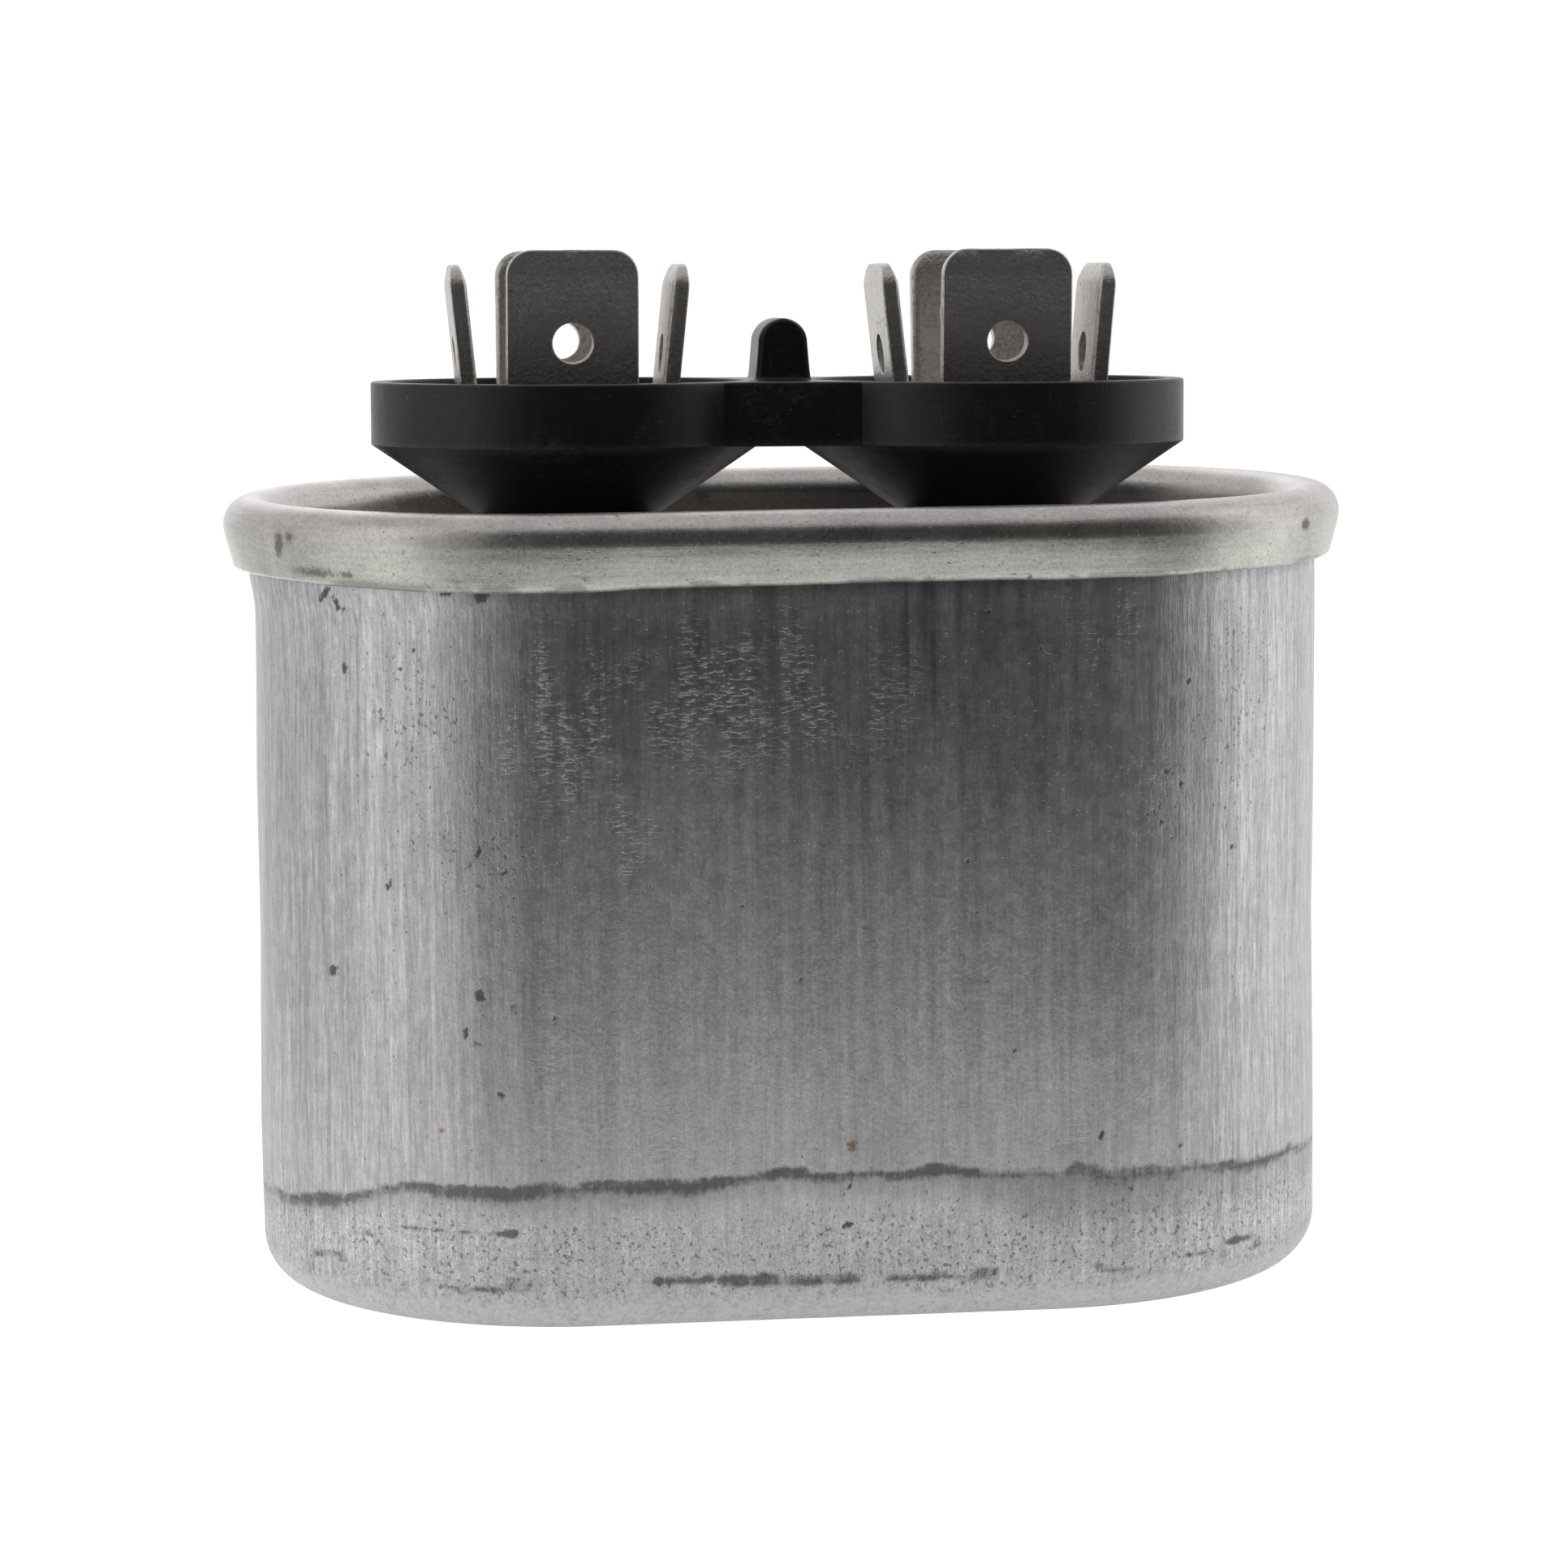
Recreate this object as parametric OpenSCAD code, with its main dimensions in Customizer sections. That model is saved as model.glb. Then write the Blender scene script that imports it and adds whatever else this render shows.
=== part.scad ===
// Oval AC motor run capacitor, small case, two four-blade quick-connect terminals.
// Origin: centre of the can's base. +X along the oval, +Y across it, +Z up. Millimetres.

/* [Can] */
// Overall length of the can across its round ends
can_len = 52.4; // [52:0.1:56]
// Overall depth of the can across its flat sides
can_dep = 30.7; // [30:0.1:32]
// Wall and floor thickness of the drawn can
can_wall = 0.5; // [0.4:0.05:0.6]
// Outside radius where the wall turns into the base
can_corner = 2.2; // [1.6:0.1:3]
// Height of the top face of the can's outward flange
flange_z = 37.3; // [37.1:0.1:37.4]

/* [Cover and rolled seam] */
// Height of the top of the rolled seam above the base
seam_top = 38.63; // [38.5:0.01:38.8]
// How far the seam stands out past the can wall
seam_over = 1.27; // [1.2:0.01:1.35]
// Width of the seam, inside to outside
seam_w = 2.7; // [2.6:0.05:2.8]
// Lowest point of the seam's lip
seam_low = 35.17; // [35.1:0.01:35.3]
// Sheet thickness of the cover
cover_t = 0.4; // [0.35:0.05:0.45]
// Height of the cover's recessed floor, upper face
floor_z = 35.1; // [34.9:0.1:35.3]

/* [Terminal block] */
// Distance of each cup's axis from the middle
cup_x = 10.45; // [10.2:0.05:10.7]
// Outside radius of a cup
cup_r = 9.52; // [9.3:0.02:9.7]
// Cup wall thickness
cup_wall = 0.8; // [0.6:0.1:1]
// Height of the cups' rims
cup_top = 43.9; // [43.5:0.1:44.3]
// Height where the straight band meets the cone below
cup_low = 40.82; // [40.6:0.02:41]
// Height of the cups' inner floors
cup_floor = 41.3; // [41.2:0.1:41.5]
// Radius of the round foot under each cup
foot_r = 4.6; // [4.2:0.1:5]
// Half width of the bridge between the cups
bridge_hy = 6.29; // [5.8:0.01:6.3]
// Width of the barrier post at its root
post_w = 2.77; // [2.4:0.01:3]
// Height of the barrier post above the cups' rims
post_h = 3.0; // [2:0.1:4]
// Depth of the barrier post, front to back
post_d = 4.1; // [3:0.1:6]

/* [Terminals] */
// Width of a blade, 1/4 inch series
blade_w = 6.35; // [6.2:0.05:6.45]
// Thickness of a blade
blade_t = 0.81; // [0.77:0.01:0.85]
// Height of the tips of the front and back blades
tip_fb = 50.22; // [49.5:0.02:51]
// Height of the tips of the side blades
tip_side = 49.55; // [49:0.05:50.5]
// Distance of the front and back blades from the terminal's axis, at the cup rim
half_fb = 4.5; // [4.3:0.05:4.8]
// Distance of the side blades from the terminal's axis, at the cup rim
half_side = 4.9; // [4.6:0.05:5.1]
// Diameter of the detent hole in each blade
detent_d = 1.93; // [1.6:0.01:2.1]
// Distance of the detent hole's centre below the blade's tip
detent_drop = 4.43; // [4.2:0.01:4.6]
// Radius of a blade's upper corners
tip_r = 1.25; // [0.8:0.05:1.6]

/* [Head attitude] */
// Lean of the riveted head towards the back, degrees
head_tip = -1.45; // [-2:0.05:2]
// Lean of the riveted head along the oval, degrees
head_roll = 0.49; // [-1:0.01:1]

/* [Inside] */
// Gap between the can wall and the wound element, outside to outside
wind_gap = 1.7; // [1.7:0.05:2.5]
// Half thickness of the flattened winding core
core_hy = 1.5; // [1:0.1:2]
// Top of the wound film
wind_top = 26.6; // [20:0.1:27]

/* [Hidden] */
$fn = 64;

ob_l = (can_len - can_dep) / 2;      // half length of the oval's straight sides
ob_r = can_dep / 2;                  // radius of the oval's ends
seam_r = seam_w / 2;                 // radius of the seam's crown
crown = [seam_over - seam_r, seam_top - seam_r];
lip_r = 0.32;                        // rounding of the seam's lower lip
lip = [seam_over - 0.45 - lip_r, seam_low + lip_r];
lip_in = 0.18;                       // slit between the lip and the can wall
rivet_r = 1.5;
bore_r = 1.6;
hole_r = 2.6;                        // hole in the cover round the bush's neck
foot_low = 35.9;                     // underside of the block's feet
plate_z = cup_floor - 0.4;           // terminal plate sits in a pocket this low
bend_r = blade_t / 2 + 0.5;          // centre-line radius of the blades' bends
spray_t = 0.6;
lead_t = 0.25;
ins_top = can_wall + 0.6;            // upper face of the bottom insulator
wind_low = ins_top + 0.3 + spray_t;
board_z = 31.1;                      // underside of the breaker plate
board_t = 1.1;
lug_t = 0.4;

// Lean of each blade away from its terminal's axis: +X, +Y, -X, -Y
lean_left = [5.7, 6, 5.8, 3];
lean_right = [4.7, 6, 6.7, 3];
turn_right = 1;                      // the right terminal sits turned by this many degrees

// The head is riveted on slightly out of square; everything in it leans about the cover's floor
module head() translate([-0.27, -0.37, floor_z]) rotate([head_tip, head_roll, -0.4])
    translate([0, 0, -floor_z]) children();

// ---- oval helpers ----
module oval2d(r) {
    square([2 * ob_l, 2 * r], center = true);
    for (s = [-1, 1]) translate([s * ob_l, 0]) circle(r = r);
}
module oval(r, z0, z1) translate([0, 0, z0]) linear_extrude(z1 - z0) oval2d(r);
// Carries a profile round an oval of end radius r: the profile's X is the distance outwards
module round_oval(r) for (a = [0, 180]) rotate(a) {
    translate([ob_l, 0, 0]) rotate(-90) rotate_extrude(angle = 180) translate([r, 0]) children();
    translate([-ob_l, r, 0]) rotate([90, 0, 90]) linear_extrude(2 * ob_l) children();
}
module box2d(x0, z0, x1, z1) translate([x0, z0]) square([x1 - x0, z1 - z0]);
function polar(c, r, a) = [c[0] + r * cos(a), c[1] + r * sin(a)];
// Direction of the outer common tangent's normal between the crown and the lip
seam_d = lip - crown;
seam_n = atan2(seam_d[1], seam_d[0]) + acos((seam_r - lip_r) / norm(seam_d));

// ---- can: one drawn aluminium cup with a flange for the seam ----
module can_profile() {
    intersection() {
        translate([-can_corner, can_corner]) difference() {
            circle(r = can_corner);
            circle(r = can_corner - can_wall);
        }
        box2d(-can_corner, 0, 0, can_corner);
    }
    box2d(-can_wall, can_corner, 0, flange_z);
    box2d(-0.01, flange_z - can_wall, 0.6, flange_z);
}
module can() color([0.66, 0.66, 0.69]) {
    round_oval(ob_r) can_profile();
    oval(ob_r - can_corner, 0, can_wall);
}

// ---- cover: one pressed steel sheet, recessed floor, wall and rolled seam ----
module crown_ring(r1, r2) intersection() {
    translate(crown) difference() { circle(r = r1); circle(r = r2); }
    polygon([crown, crown - [4, 0], crown + [-4, 4], crown + [4, 4], polar(crown, 4 / cos(seam_n), seam_n)]);
}
module cover_profile() {
    crown_ring(seam_r, seam_r - cover_t);
    polygon([polar(crown, seam_r, seam_n), polar(crown, seam_r - cover_t, seam_n),
        polar(lip, lip_r - cover_t, seam_n), polar(lip, lip_r, seam_n)]);
    translate(lip) circle(r = lip_r);
    box2d(lip_in, seam_low, lip[0], seam_low + cover_t);
    box2d(seam_over - seam_w, floor_z - cover_t, seam_over - seam_w + cover_t, crown[1]);
}
module cover() color([0.62, 0.62, 0.58]) difference() {
    union() {
        round_oval(ob_r) cover_profile();
        oval(ob_r + seam_over - seam_w + cover_t, floor_z - cover_t, floor_z);
    }
    for (s = [-1, 1]) head() translate([s * cup_x, 0, 30]) cylinder(r = hole_r, h = 8);
}

// ---- seam compound: soft ring squeezed between the can's flange and the cover ----
module seam_compound() color([0.35, 0.35, 0.3]) round_oval(ob_r) {
    intersection() {
        translate(crown) circle(r = seam_r - cover_t);
        box2d(-4, flange_z, 4, 50);
    }
    box2d(seam_over - seam_w + cover_t, floor_z - cover_t, -can_wall, flange_z);
}

// ---- terminal block: one moulding, two cups on conical feet, bridge and barrier post ----
module plate2d(grow) for (a = [0, 90]) rotate(a)
    square([2 * (a == 0 ? half_side : half_fb) + grow, blade_w + grow], center = true);
module terminal_block() color([0.1, 0.1, 0.11]) head() difference() {
    union() {
        for (s = [-1, 1]) translate([s * cup_x, 0, 0]) {
            translate([0, 0, cup_low]) cylinder(r = cup_r, h = cup_top - cup_low);
            translate([0, 0, cup_low - 3.32]) cylinder(r1 = foot_r, r2 = cup_r, h = 3.32);
            translate([0, 0, foot_low]) cylinder(r = foot_r, h = 5);
        }
        translate([-3.3, -bridge_hy, cup_low]) cube([6.6, 2 * bridge_hy, cup_top - cup_low]);
        translate([0, post_d / 2, cup_top - 0.5]) rotate([90, 0, 0]) linear_extrude(post_d) {
            polygon([[-post_w / 2, 0], [post_w / 2, 0], [1.2, post_h - 0.7], [-1.2, post_h - 0.7]]);
            translate([0, post_h - 0.7]) circle(r = 1.2);
        }
    }
    for (s = [-1, 1]) translate([s * cup_x, 0, 0]) {
        translate([0, 0, cup_floor]) cylinder(r = cup_r - cup_wall, h = 5);
        translate([0, 0, 30]) cylinder(r = bore_r, h = 15);
        translate([0, 0, plate_z]) rotate(s > 0 ? turn_right : 0) linear_extrude(2) plate2d(0.9);
    }
}

// ---- terminals: one stamping each, a plate with four blades turned up ----
// Side view of one arm, from the terminal's axis outwards: plate, bend, leaning blade, coined tip
function arm_side(half, tip, lean) = let (
    n = [cos(lean), -sin(lean)], u = [sin(lean), cos(lean)],
    zc = plate_z + blade_t / 2 + bend_r,
    z0 = zc - bend_r * sin(lean),
    c = [half - (cup_top - z0) * tan(lean) - bend_r * cos(lean), zc],
    b = c + bend_r * n, len = (tip - z0) / cos(lean), h = blade_t / 2)
    concat([[0, plate_z]],
        [for (i = [0:8]) polar(c, bend_r + h, -90 + (90 - lean) * i / 8)],
        [b + h * n + (len - 0.95) * u, b + 0.2 * n + len * u, b - 0.2 * n + len * u, b - h * n + (len - 0.95) * u],
        [for (i = [8:-1:0]) polar(c, bend_r - h, -90 + (90 - lean) * i / 8)],
        [[0, plate_z + blade_t]]);
module blade_outline(len) difference() {
    union() {
        box2d(-blade_w / 2, -12, blade_w / 2, len - tip_r);
        box2d(-blade_w / 2 + tip_r, 0, blade_w / 2 - tip_r, len);
        for (s = [-1, 1]) translate([s * (blade_w / 2 - tip_r), len - tip_r]) circle(r = tip_r);
    }
    translate([0, len - detent_drop]) circle(r = detent_d / 2);
}
module arm(half, tip, lean) {
    z0 = plate_z + blade_t / 2 + bend_r * (1 - sin(lean));
    intersection() {
        translate([0, blade_w, 0]) rotate([90, 0, 0]) linear_extrude(2 * blade_w) polygon(arm_side(half, tip, lean));
        translate([half - (cup_top - z0) * tan(lean), 0, z0]) rotate([0, lean, 0])
            rotate([90, 0, 90]) linear_extrude(16, center = true) blade_outline((tip - z0) / cos(lean));
    }
}
module terminal(s, lean, turn) color([0.72, 0.71, 0.69]) head() translate([s * cup_x, 0, 0]) rotate(turn) difference() {
    for (k = [0:3]) rotate(90 * k) arm(k % 2 == 0 ? half_side : half_fb, k % 2 == 0 ? tip_side : tip_fb, lean[k]);
    translate([0, 0, 30]) cylinder(r = bore_r, h = 15);
}
module terminal_left() terminal(-1, lean_left, 0);
module terminal_right() terminal(1, lean_right, turn_right);

// ---- rivets: head on the terminal plate, shank through the cover, clinch and weld stub ----
module rivet(s) color([0.75, 0.74, 0.72]) head() translate([s * cup_x, 0, 0]) {
    translate([0, 0, plate_z + blade_t]) cylinder(r = 2.75, h = 0.6);
    translate([0, 0, plate_z + blade_t + 0.6]) cylinder(r1 = 2.75, r2 = 2.2, h = 0.4);
    translate([0, 0, 33.0]) cylinder(r = rivet_r, h = plate_z + blade_t - 33.0);
    translate([0, 0, 32.5]) cylinder(r = 2.3, h = 0.5);
    translate([0, 0, board_z - lug_t]) cylinder(r = 0.8, h = 1.9);
}
module rivet_left() rivet(-1);
module rivet_right() rivet(1);

// ---- gaskets: rubber rings between the feet and the cover, worn to the head's lean ----
module gasket(s) color([0.16, 0.16, 0.17]) difference() {
    head() translate([s * cup_x, 0, floor_z - 0.5]) difference() {
        cylinder(r = 4.9, h = foot_low - floor_z + 0.5);
        translate([0, 0, -1]) cylinder(r = 2.7, h = 4);
    }
    translate([-40, -40, floor_z - 5]) cube([80, 80, 5]);
}
module gasket_left() gasket(-1);
module gasket_right() gasket(1);

// ---- bushes: insulating shoulder bushes under the cover, neck up through it ----
module bush(s) color([0.85, 0.83, 0.76]) difference() {
    head() translate([s * cup_x, 0, 0]) difference() {
        union() {
            translate([0, 0, 33.5]) cylinder(r = 4.4, h = 1.6);
            translate([0, 0, 33.5]) cylinder(r = 2.5, h = foot_low - 33.5);
        }
        translate([0, 0, 30]) cylinder(r = bore_r, h = 8);
    }
    // the flange stops at the cover's underside, the neck goes on
    difference() {
        translate([-40, -40, floor_z - cover_t]) cube([80, 80, 3]);
        head() translate([s * cup_x, 0, 30]) cylinder(r = 2.5, h = 10);
    }
}
module bush_left() bush(-1);
module bush_right() bush(1);

// ---- washers: under the bushes, the rivets are clinched on them ----
module washer(s) color([0.78, 0.76, 0.7]) head() translate([s * cup_x, 0, 33.0]) difference() {
    cylinder(r = 3.5, h = 0.5);
    translate([0, 0, -1]) cylinder(r = bore_r, h = 3);
}
module washer_left() washer(-1);
module washer_right() washer(1);

// ---- breaker plate: stiff board that holds the lugs back if the cover domes up ----
module breaker_plate() color([0.55, 0.36, 0.2]) difference() {
    oval(ob_r - can_wall - 0.4, board_z, board_z + board_t);
    for (s = [-1, 1]) head() translate([s * cup_x, 0, 28]) cylinder(r = 1.4, h = 8);
    for (x = [-20, 0, 20]) translate([x, 0, board_z - 1]) cylinder(r = 1.5, h = 4);
    for (x = [-6, 6], y = [-9, 9]) translate([x, y, board_z - 1]) cylinder(r = 1.2, h = 4);
}

// ---- lugs: thin strips welded to the rivets' stubs, under the board ----
module lug(s) color([0.8, 0.68, 0.4]) difference() {
    translate([s * cup_x, 0, board_z - lug_t]) {
        cylinder(r = 3, h = lug_t);
        translate([-2, 0, 0]) cube([4, 7.5, lug_t]);
    }
    head() translate([s * cup_x, 0, 28]) cylinder(r = 0.8, h = 8);
}
module lug_left() lug(-1);
module lug_right() lug(1);

// ---- leads: flat tinned copper, soldered to the lugs and to the sprayed ends ----
spray_z = wind_top + spray_t;
lead_y = ob_r - wind_gap + 0.175;    // the long lead runs down outside the winding here
lead_x = ob_l - 2.1;
module lead_short() color([0.8, 0.78, 0.72]) translate([-cup_x - 1.5, 0, 0]) {
    translate([0, 3.5, board_z - lug_t - lead_t]) cube([3, 4, lead_t]);
    translate([0, 7.5 - lead_t, spray_z]) cube([3, lead_t, board_z - lug_t - spray_z]);
    translate([0, 3.5, spray_z]) cube([3, 4, lead_t]);
}
module lead_long() color([0.8, 0.78, 0.72]) translate([lead_x - 1.5, 0, 0]) {
    translate([0, 3.5, board_z - lug_t - lead_t]) cube([3, lead_y + lead_t - 3.5, lead_t]);
    translate([0, lead_y, ins_top]) cube([3, lead_t, board_z - lug_t - ins_top]);
    translate([0, 4, ins_top]) cube([3, lead_y + lead_t - 4, 0.3]);
}
module lead_sleeve() color([0.9, 0.88, 0.8]) translate([lead_x, lead_y + lead_t / 2, ins_top + 0.9]) difference() {
    translate([-2.1, -0.3, 0]) cube([4.2, 0.6, wind_top - ins_top]);
    translate([-1.6, -0.16, -1]) cube([3.2, 0.32, 40]);
}

// ---- wound element: film roll on a flattened core, sprayed metal on both ends ----
module winding() color([0.82, 0.84, 0.86]) difference() {
    oval(ob_r - wind_gap, wind_low, wind_top);
    oval(core_hy, wind_low - 1, wind_top + 1);
}
module winding_core() color([0.9, 0.9, 0.88]) difference() {
    oval(core_hy, wind_low, wind_top);
    oval(core_hy - 0.7, wind_low - 1, wind_top + 1);
}
module end_spray(z) color([0.6, 0.61, 0.63]) difference() {
    oval(ob_r - wind_gap - 0.3, z, z + spray_t);
    oval(core_hy - 0.7, z - 1, z + spray_t + 1);
}
module end_spray_top() end_spray(wind_top);
module end_spray_bottom() end_spray(wind_low - spray_t);

// ---- wrap: layers of plain film between the element and the can ----
module element_wrap() color([0.86, 0.86, 0.82]) difference() {
    oval(ob_r - can_wall - 0.3, can_corner + 0.1, 28.6);
    oval(ob_r - can_wall - 0.6, 0, 40);
}
// ---- bottom insulator: board under the element ----
module bottom_insulator() color([0.6, 0.5, 0.38]) oval(ob_r - can_corner - 0.1, can_wall, ins_top);

can();
cover();
seam_compound();
terminal_block();
terminal_left();
terminal_right();
rivet_left();
rivet_right();
gasket_left();
gasket_right();
bush_left();
bush_right();
washer_left();
washer_right();
breaker_plate();
lug_left();
lug_right();
lead_short();
lead_long();
lead_sleeve();
winding();
winding_core();
end_spray_top();
end_spray_bottom();
element_wrap();
bottom_insulator();
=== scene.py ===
import bpy, bmesh, math
import numpy as np
from mathutils import Matrix, Vector
from mathutils.geometry import delaunay_2d_cdt


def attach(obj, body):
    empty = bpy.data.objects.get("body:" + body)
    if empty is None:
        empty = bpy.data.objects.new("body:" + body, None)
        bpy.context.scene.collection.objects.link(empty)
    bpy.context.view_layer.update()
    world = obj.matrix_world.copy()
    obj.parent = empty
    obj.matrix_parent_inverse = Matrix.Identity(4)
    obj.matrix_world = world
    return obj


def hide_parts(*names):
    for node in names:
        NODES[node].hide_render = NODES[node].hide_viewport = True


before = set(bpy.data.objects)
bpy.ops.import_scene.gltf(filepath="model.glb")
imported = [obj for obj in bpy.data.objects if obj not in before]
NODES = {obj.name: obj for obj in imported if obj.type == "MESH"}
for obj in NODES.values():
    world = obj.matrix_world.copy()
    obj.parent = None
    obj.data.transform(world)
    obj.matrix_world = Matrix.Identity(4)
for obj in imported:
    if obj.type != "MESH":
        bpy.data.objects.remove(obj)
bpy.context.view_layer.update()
MM = 0.001
scene = bpy.context.scene
scene.view_settings.view_transform = "Standard"
scene.view_settings.look = "None"

# ---------------------------------------------------------------- camera
C = np.array([-27.963, -237.438, 54.778])
F = np.array([0.11548959, 0.98499503, -0.12824562])
R = np.array([0.9930075, -0.11766747, -0.00951172])
D = np.array([-0.02445933, -0.12625035, -0.99169682])
cam_data = bpy.data.cameras.new("camera")
cam_data.sensor_fit, cam_data.sensor_width = "HORIZONTAL", 36.0
cam_data.lens = 36.0 * 5988.18 / 1932.0
cam_data.clip_start, cam_data.clip_end = 0.01, 10.0
cam = bpy.data.objects.new("camera", cam_data)
scene.collection.objects.link(cam)
m = Matrix.Identity(4)
for i in range(3):
    m[i][0], m[i][1], m[i][2], m[i][3] = R[i], -D[i], -F[i], C[i] * MM
cam.matrix_world = m
scene.camera = cam

# ---------------------------------------------------------------- dimensions, as in the part's source, mm
OB_L, OB_R = 10.85, 15.35
SEAM_OVER, SEAM_TOP, SEAM_R, SEAM_LOW = 1.27, 38.63, 1.35, 35.17
COVER_T, FLOOR_Z, CAN_WALL, CORNER, FLANGE_Z = 0.4, 35.1, 0.5, 2.2, 37.3
CUP_X, CUP_R, CUP_WALL, CUP_TOP, CUP_LOW, CUP_FLOOR = 10.45, 9.52, 0.8, 43.9, 40.82, 41.3
FOOT_R, FOOT_LOW, FOOT_Z = 4.6, 35.9, 37.5
BLADE_W, BLADE_T, TIP_FB, TIP_SIDE = 6.35, 0.81, 50.22, 49.55
HALF_FB, HALF_SIDE, DETENT_R, DETENT_DROP, TIP_R = 4.5, 4.9, 0.965, 4.43, 1.25
PLATE_Z, BEND_R, BORE_R = 40.9, 0.905, 1.6
LEAN_LEFT, LEAN_RIGHT, TURN_RIGHT = (5.7, 6.0, 5.8, 3.0), (4.7, 6.0, 6.7, 3.0), 1.0


def rx(a):
    return Matrix.Rotation(math.radians(a), 4, "X")


def ry(a):
    return Matrix.Rotation(math.radians(a), 4, "Y")


def rz(a):
    return Matrix.Rotation(math.radians(a), 4, "Z")


HEAD = (Matrix.Translation((-0.27, -0.37, FLOOR_Z)) @ rz(-0.4) @ ry(0.49) @ rx(-1.45)
        @ Matrix.Translation((0, 0, -FLOOR_Z)))
HEAD_NP = np.array(HEAD)


def to_head(p):
    p = np.asarray(p, float)
    return p @ HEAD_NP[:3, :3].T + HEAD_NP[:3, 3]


# ---------------------------------------------------------------- value noise for painting and waviness
def lattice(seed, n=64):
    return np.random.RandomState(seed).rand(n, n, n)


_LAT = {}


def vnoise(x, y, z, seed):
    """Smooth value noise, 0 to 1, of coordinates in lattice cells."""
    if seed not in _LAT:
        _LAT[seed] = lattice(seed, 32)
    g = _LAT[seed]
    x, y, z = np.broadcast_arrays(np.asarray(x, float), np.asarray(y, float), np.asarray(z, float))
    xi, yi, zi = np.floor(x).astype(int), np.floor(y).astype(int), np.floor(z).astype(int)
    fx, fy, fz = x - xi, y - yi, z - zi
    fx, fy, fz = (f * f * (3 - 2 * f) for f in (fx, fy, fz))
    out = 0
    for a in (0, 1):
        for b in (0, 1):
            for c in (0, 1):
                w = (fx if a else 1 - fx) * (fy if b else 1 - fy) * (fz if c else 1 - fz)
                out = out + w * g[(xi + a) % 32, (yi + b) % 32, (zi + c) % 32]
    return out


def fbm(x, y, z, seed, octaves=3, gain=0.5):
    t, amp, tot = 0, 1.0, 0.0
    for o in range(octaves):
        k = 2.0 ** o
        t = t + amp * vnoise(x * k + 3.1 * o, y * k + 1.7 * o, z * k + 5.3 * o, seed + o)
        tot += amp
        amp *= gain
    return t / tot


def sstep(a, b, v):
    t = np.clip((np.asarray(v, float) - a) / (b - a), 0, 1)
    return t * t * (3 - 2 * t)


# ---------------------------------------------------------------- mesh building
class Build:
    """Collects vertices in mm and faces; closed shapes share their loops' vertices."""

    def __init__(self):
        self.v, self.f, self.n = [], [], 0

    def add(self, pts):
        pts = np.asarray(pts, float).reshape(-1, 3)
        self.v.append(pts)
        ids = np.arange(self.n, self.n + len(pts))
        self.n += len(pts)
        return ids

    def strip(self, a, b):
        a, b = np.asarray(a), np.asarray(b)
        a2, b2 = np.roll(a, -1), np.roll(b, -1)
        self.f.extend(map(tuple, np.stack([a, a2, b2, b], 1).tolist()))

    def fill(self, loops, uv, inner=None, at=None):
        """Triangulates the area between closed loops (lists of ids); uv gives the 2-D place of each id, inner adds free points and at maps those to 3-D."""
        ids = np.concatenate([np.asarray(l) for l in loops])
        p = [np.asarray(uv[k], float) for k in range(len(loops))]
        edges, start = [], 0
        for l in loops:
            k = len(l)
            edges += [(start + i, start + (i + 1) % k) for i in range(k)]
            start += k
        pts = np.concatenate(p)
        segs = np.array(edges)
        if inner is not None and len(inner):
            inner = np.asarray(inner, float)
            keep = inside(inner, pts, segs)
            inner = inner[keep]
            # free points keep clear of the loops
            d = np.full(len(inner), np.inf)
            for q in np.array_split(np.arange(len(pts)), max(1, len(pts) // 256)):
                d = np.minimum(d, np.min(np.linalg.norm(inner[:, None] - pts[None, q], axis=2), axis=1))
            inner = inner[d > 0.45 * np.median(np.linalg.norm(pts[segs[:, 0]] - pts[segs[:, 1]], axis=1))]
            new = self.add(at(inner))
            ids = np.concatenate([ids, new])
            pts = np.concatenate([pts, inner])
        out = delaunay_2d_cdt([Vector(q) for q in pts], edges, [], 0, 1e-7, True)
        ov = np.array([list(q) for q in out[0]])
        orig = [o[0] if o else -1 for o in out[3]]
        tri = np.array([t for t in out[2] if len(t) == 3])
        cen = ov[tri].mean(1)
        keep = inside(cen, pts, segs)
        for t in tri[keep]:
            o = [orig[k] for k in t]
            if min(o) < 0:
                raise RuntimeError("a fill made a new point")
            self.f.append(tuple(int(ids[k]) for k in o))

    def make(self, name, matrix=None, sharp=35.0):
        v = np.concatenate(self.v)
        if matrix is not None:
            mm = np.array(matrix)
            v = v @ mm[:3, :3].T + mm[:3, 3]
        mesh = bpy.data.meshes.new(name)
        mesh.from_pydata((v * MM).tolist(), [], self.f)
        mesh.update()
        bm = bmesh.new()
        bm.from_mesh(mesh)
        bmesh.ops.recalc_face_normals(bm, faces=bm.faces)
        if bm.calc_volume(signed=True) < 0:
            bmesh.ops.reverse_faces(bm, faces=bm.faces)
        openness = sum(1 for e in bm.edges if len(e.link_faces) != 2)
        bm.to_mesh(mesh)
        bm.free()
        print(f"[{name}] verts {len(mesh.vertices)} faces {len(mesh.polygons)} open edges {openness}")
        mesh.shade_smooth()
        mesh.set_sharp_from_angle(angle=math.radians(sharp))
        o = bpy.data.objects.new(name, mesh)
        scene.collection.objects.link(o)
        return o


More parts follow.
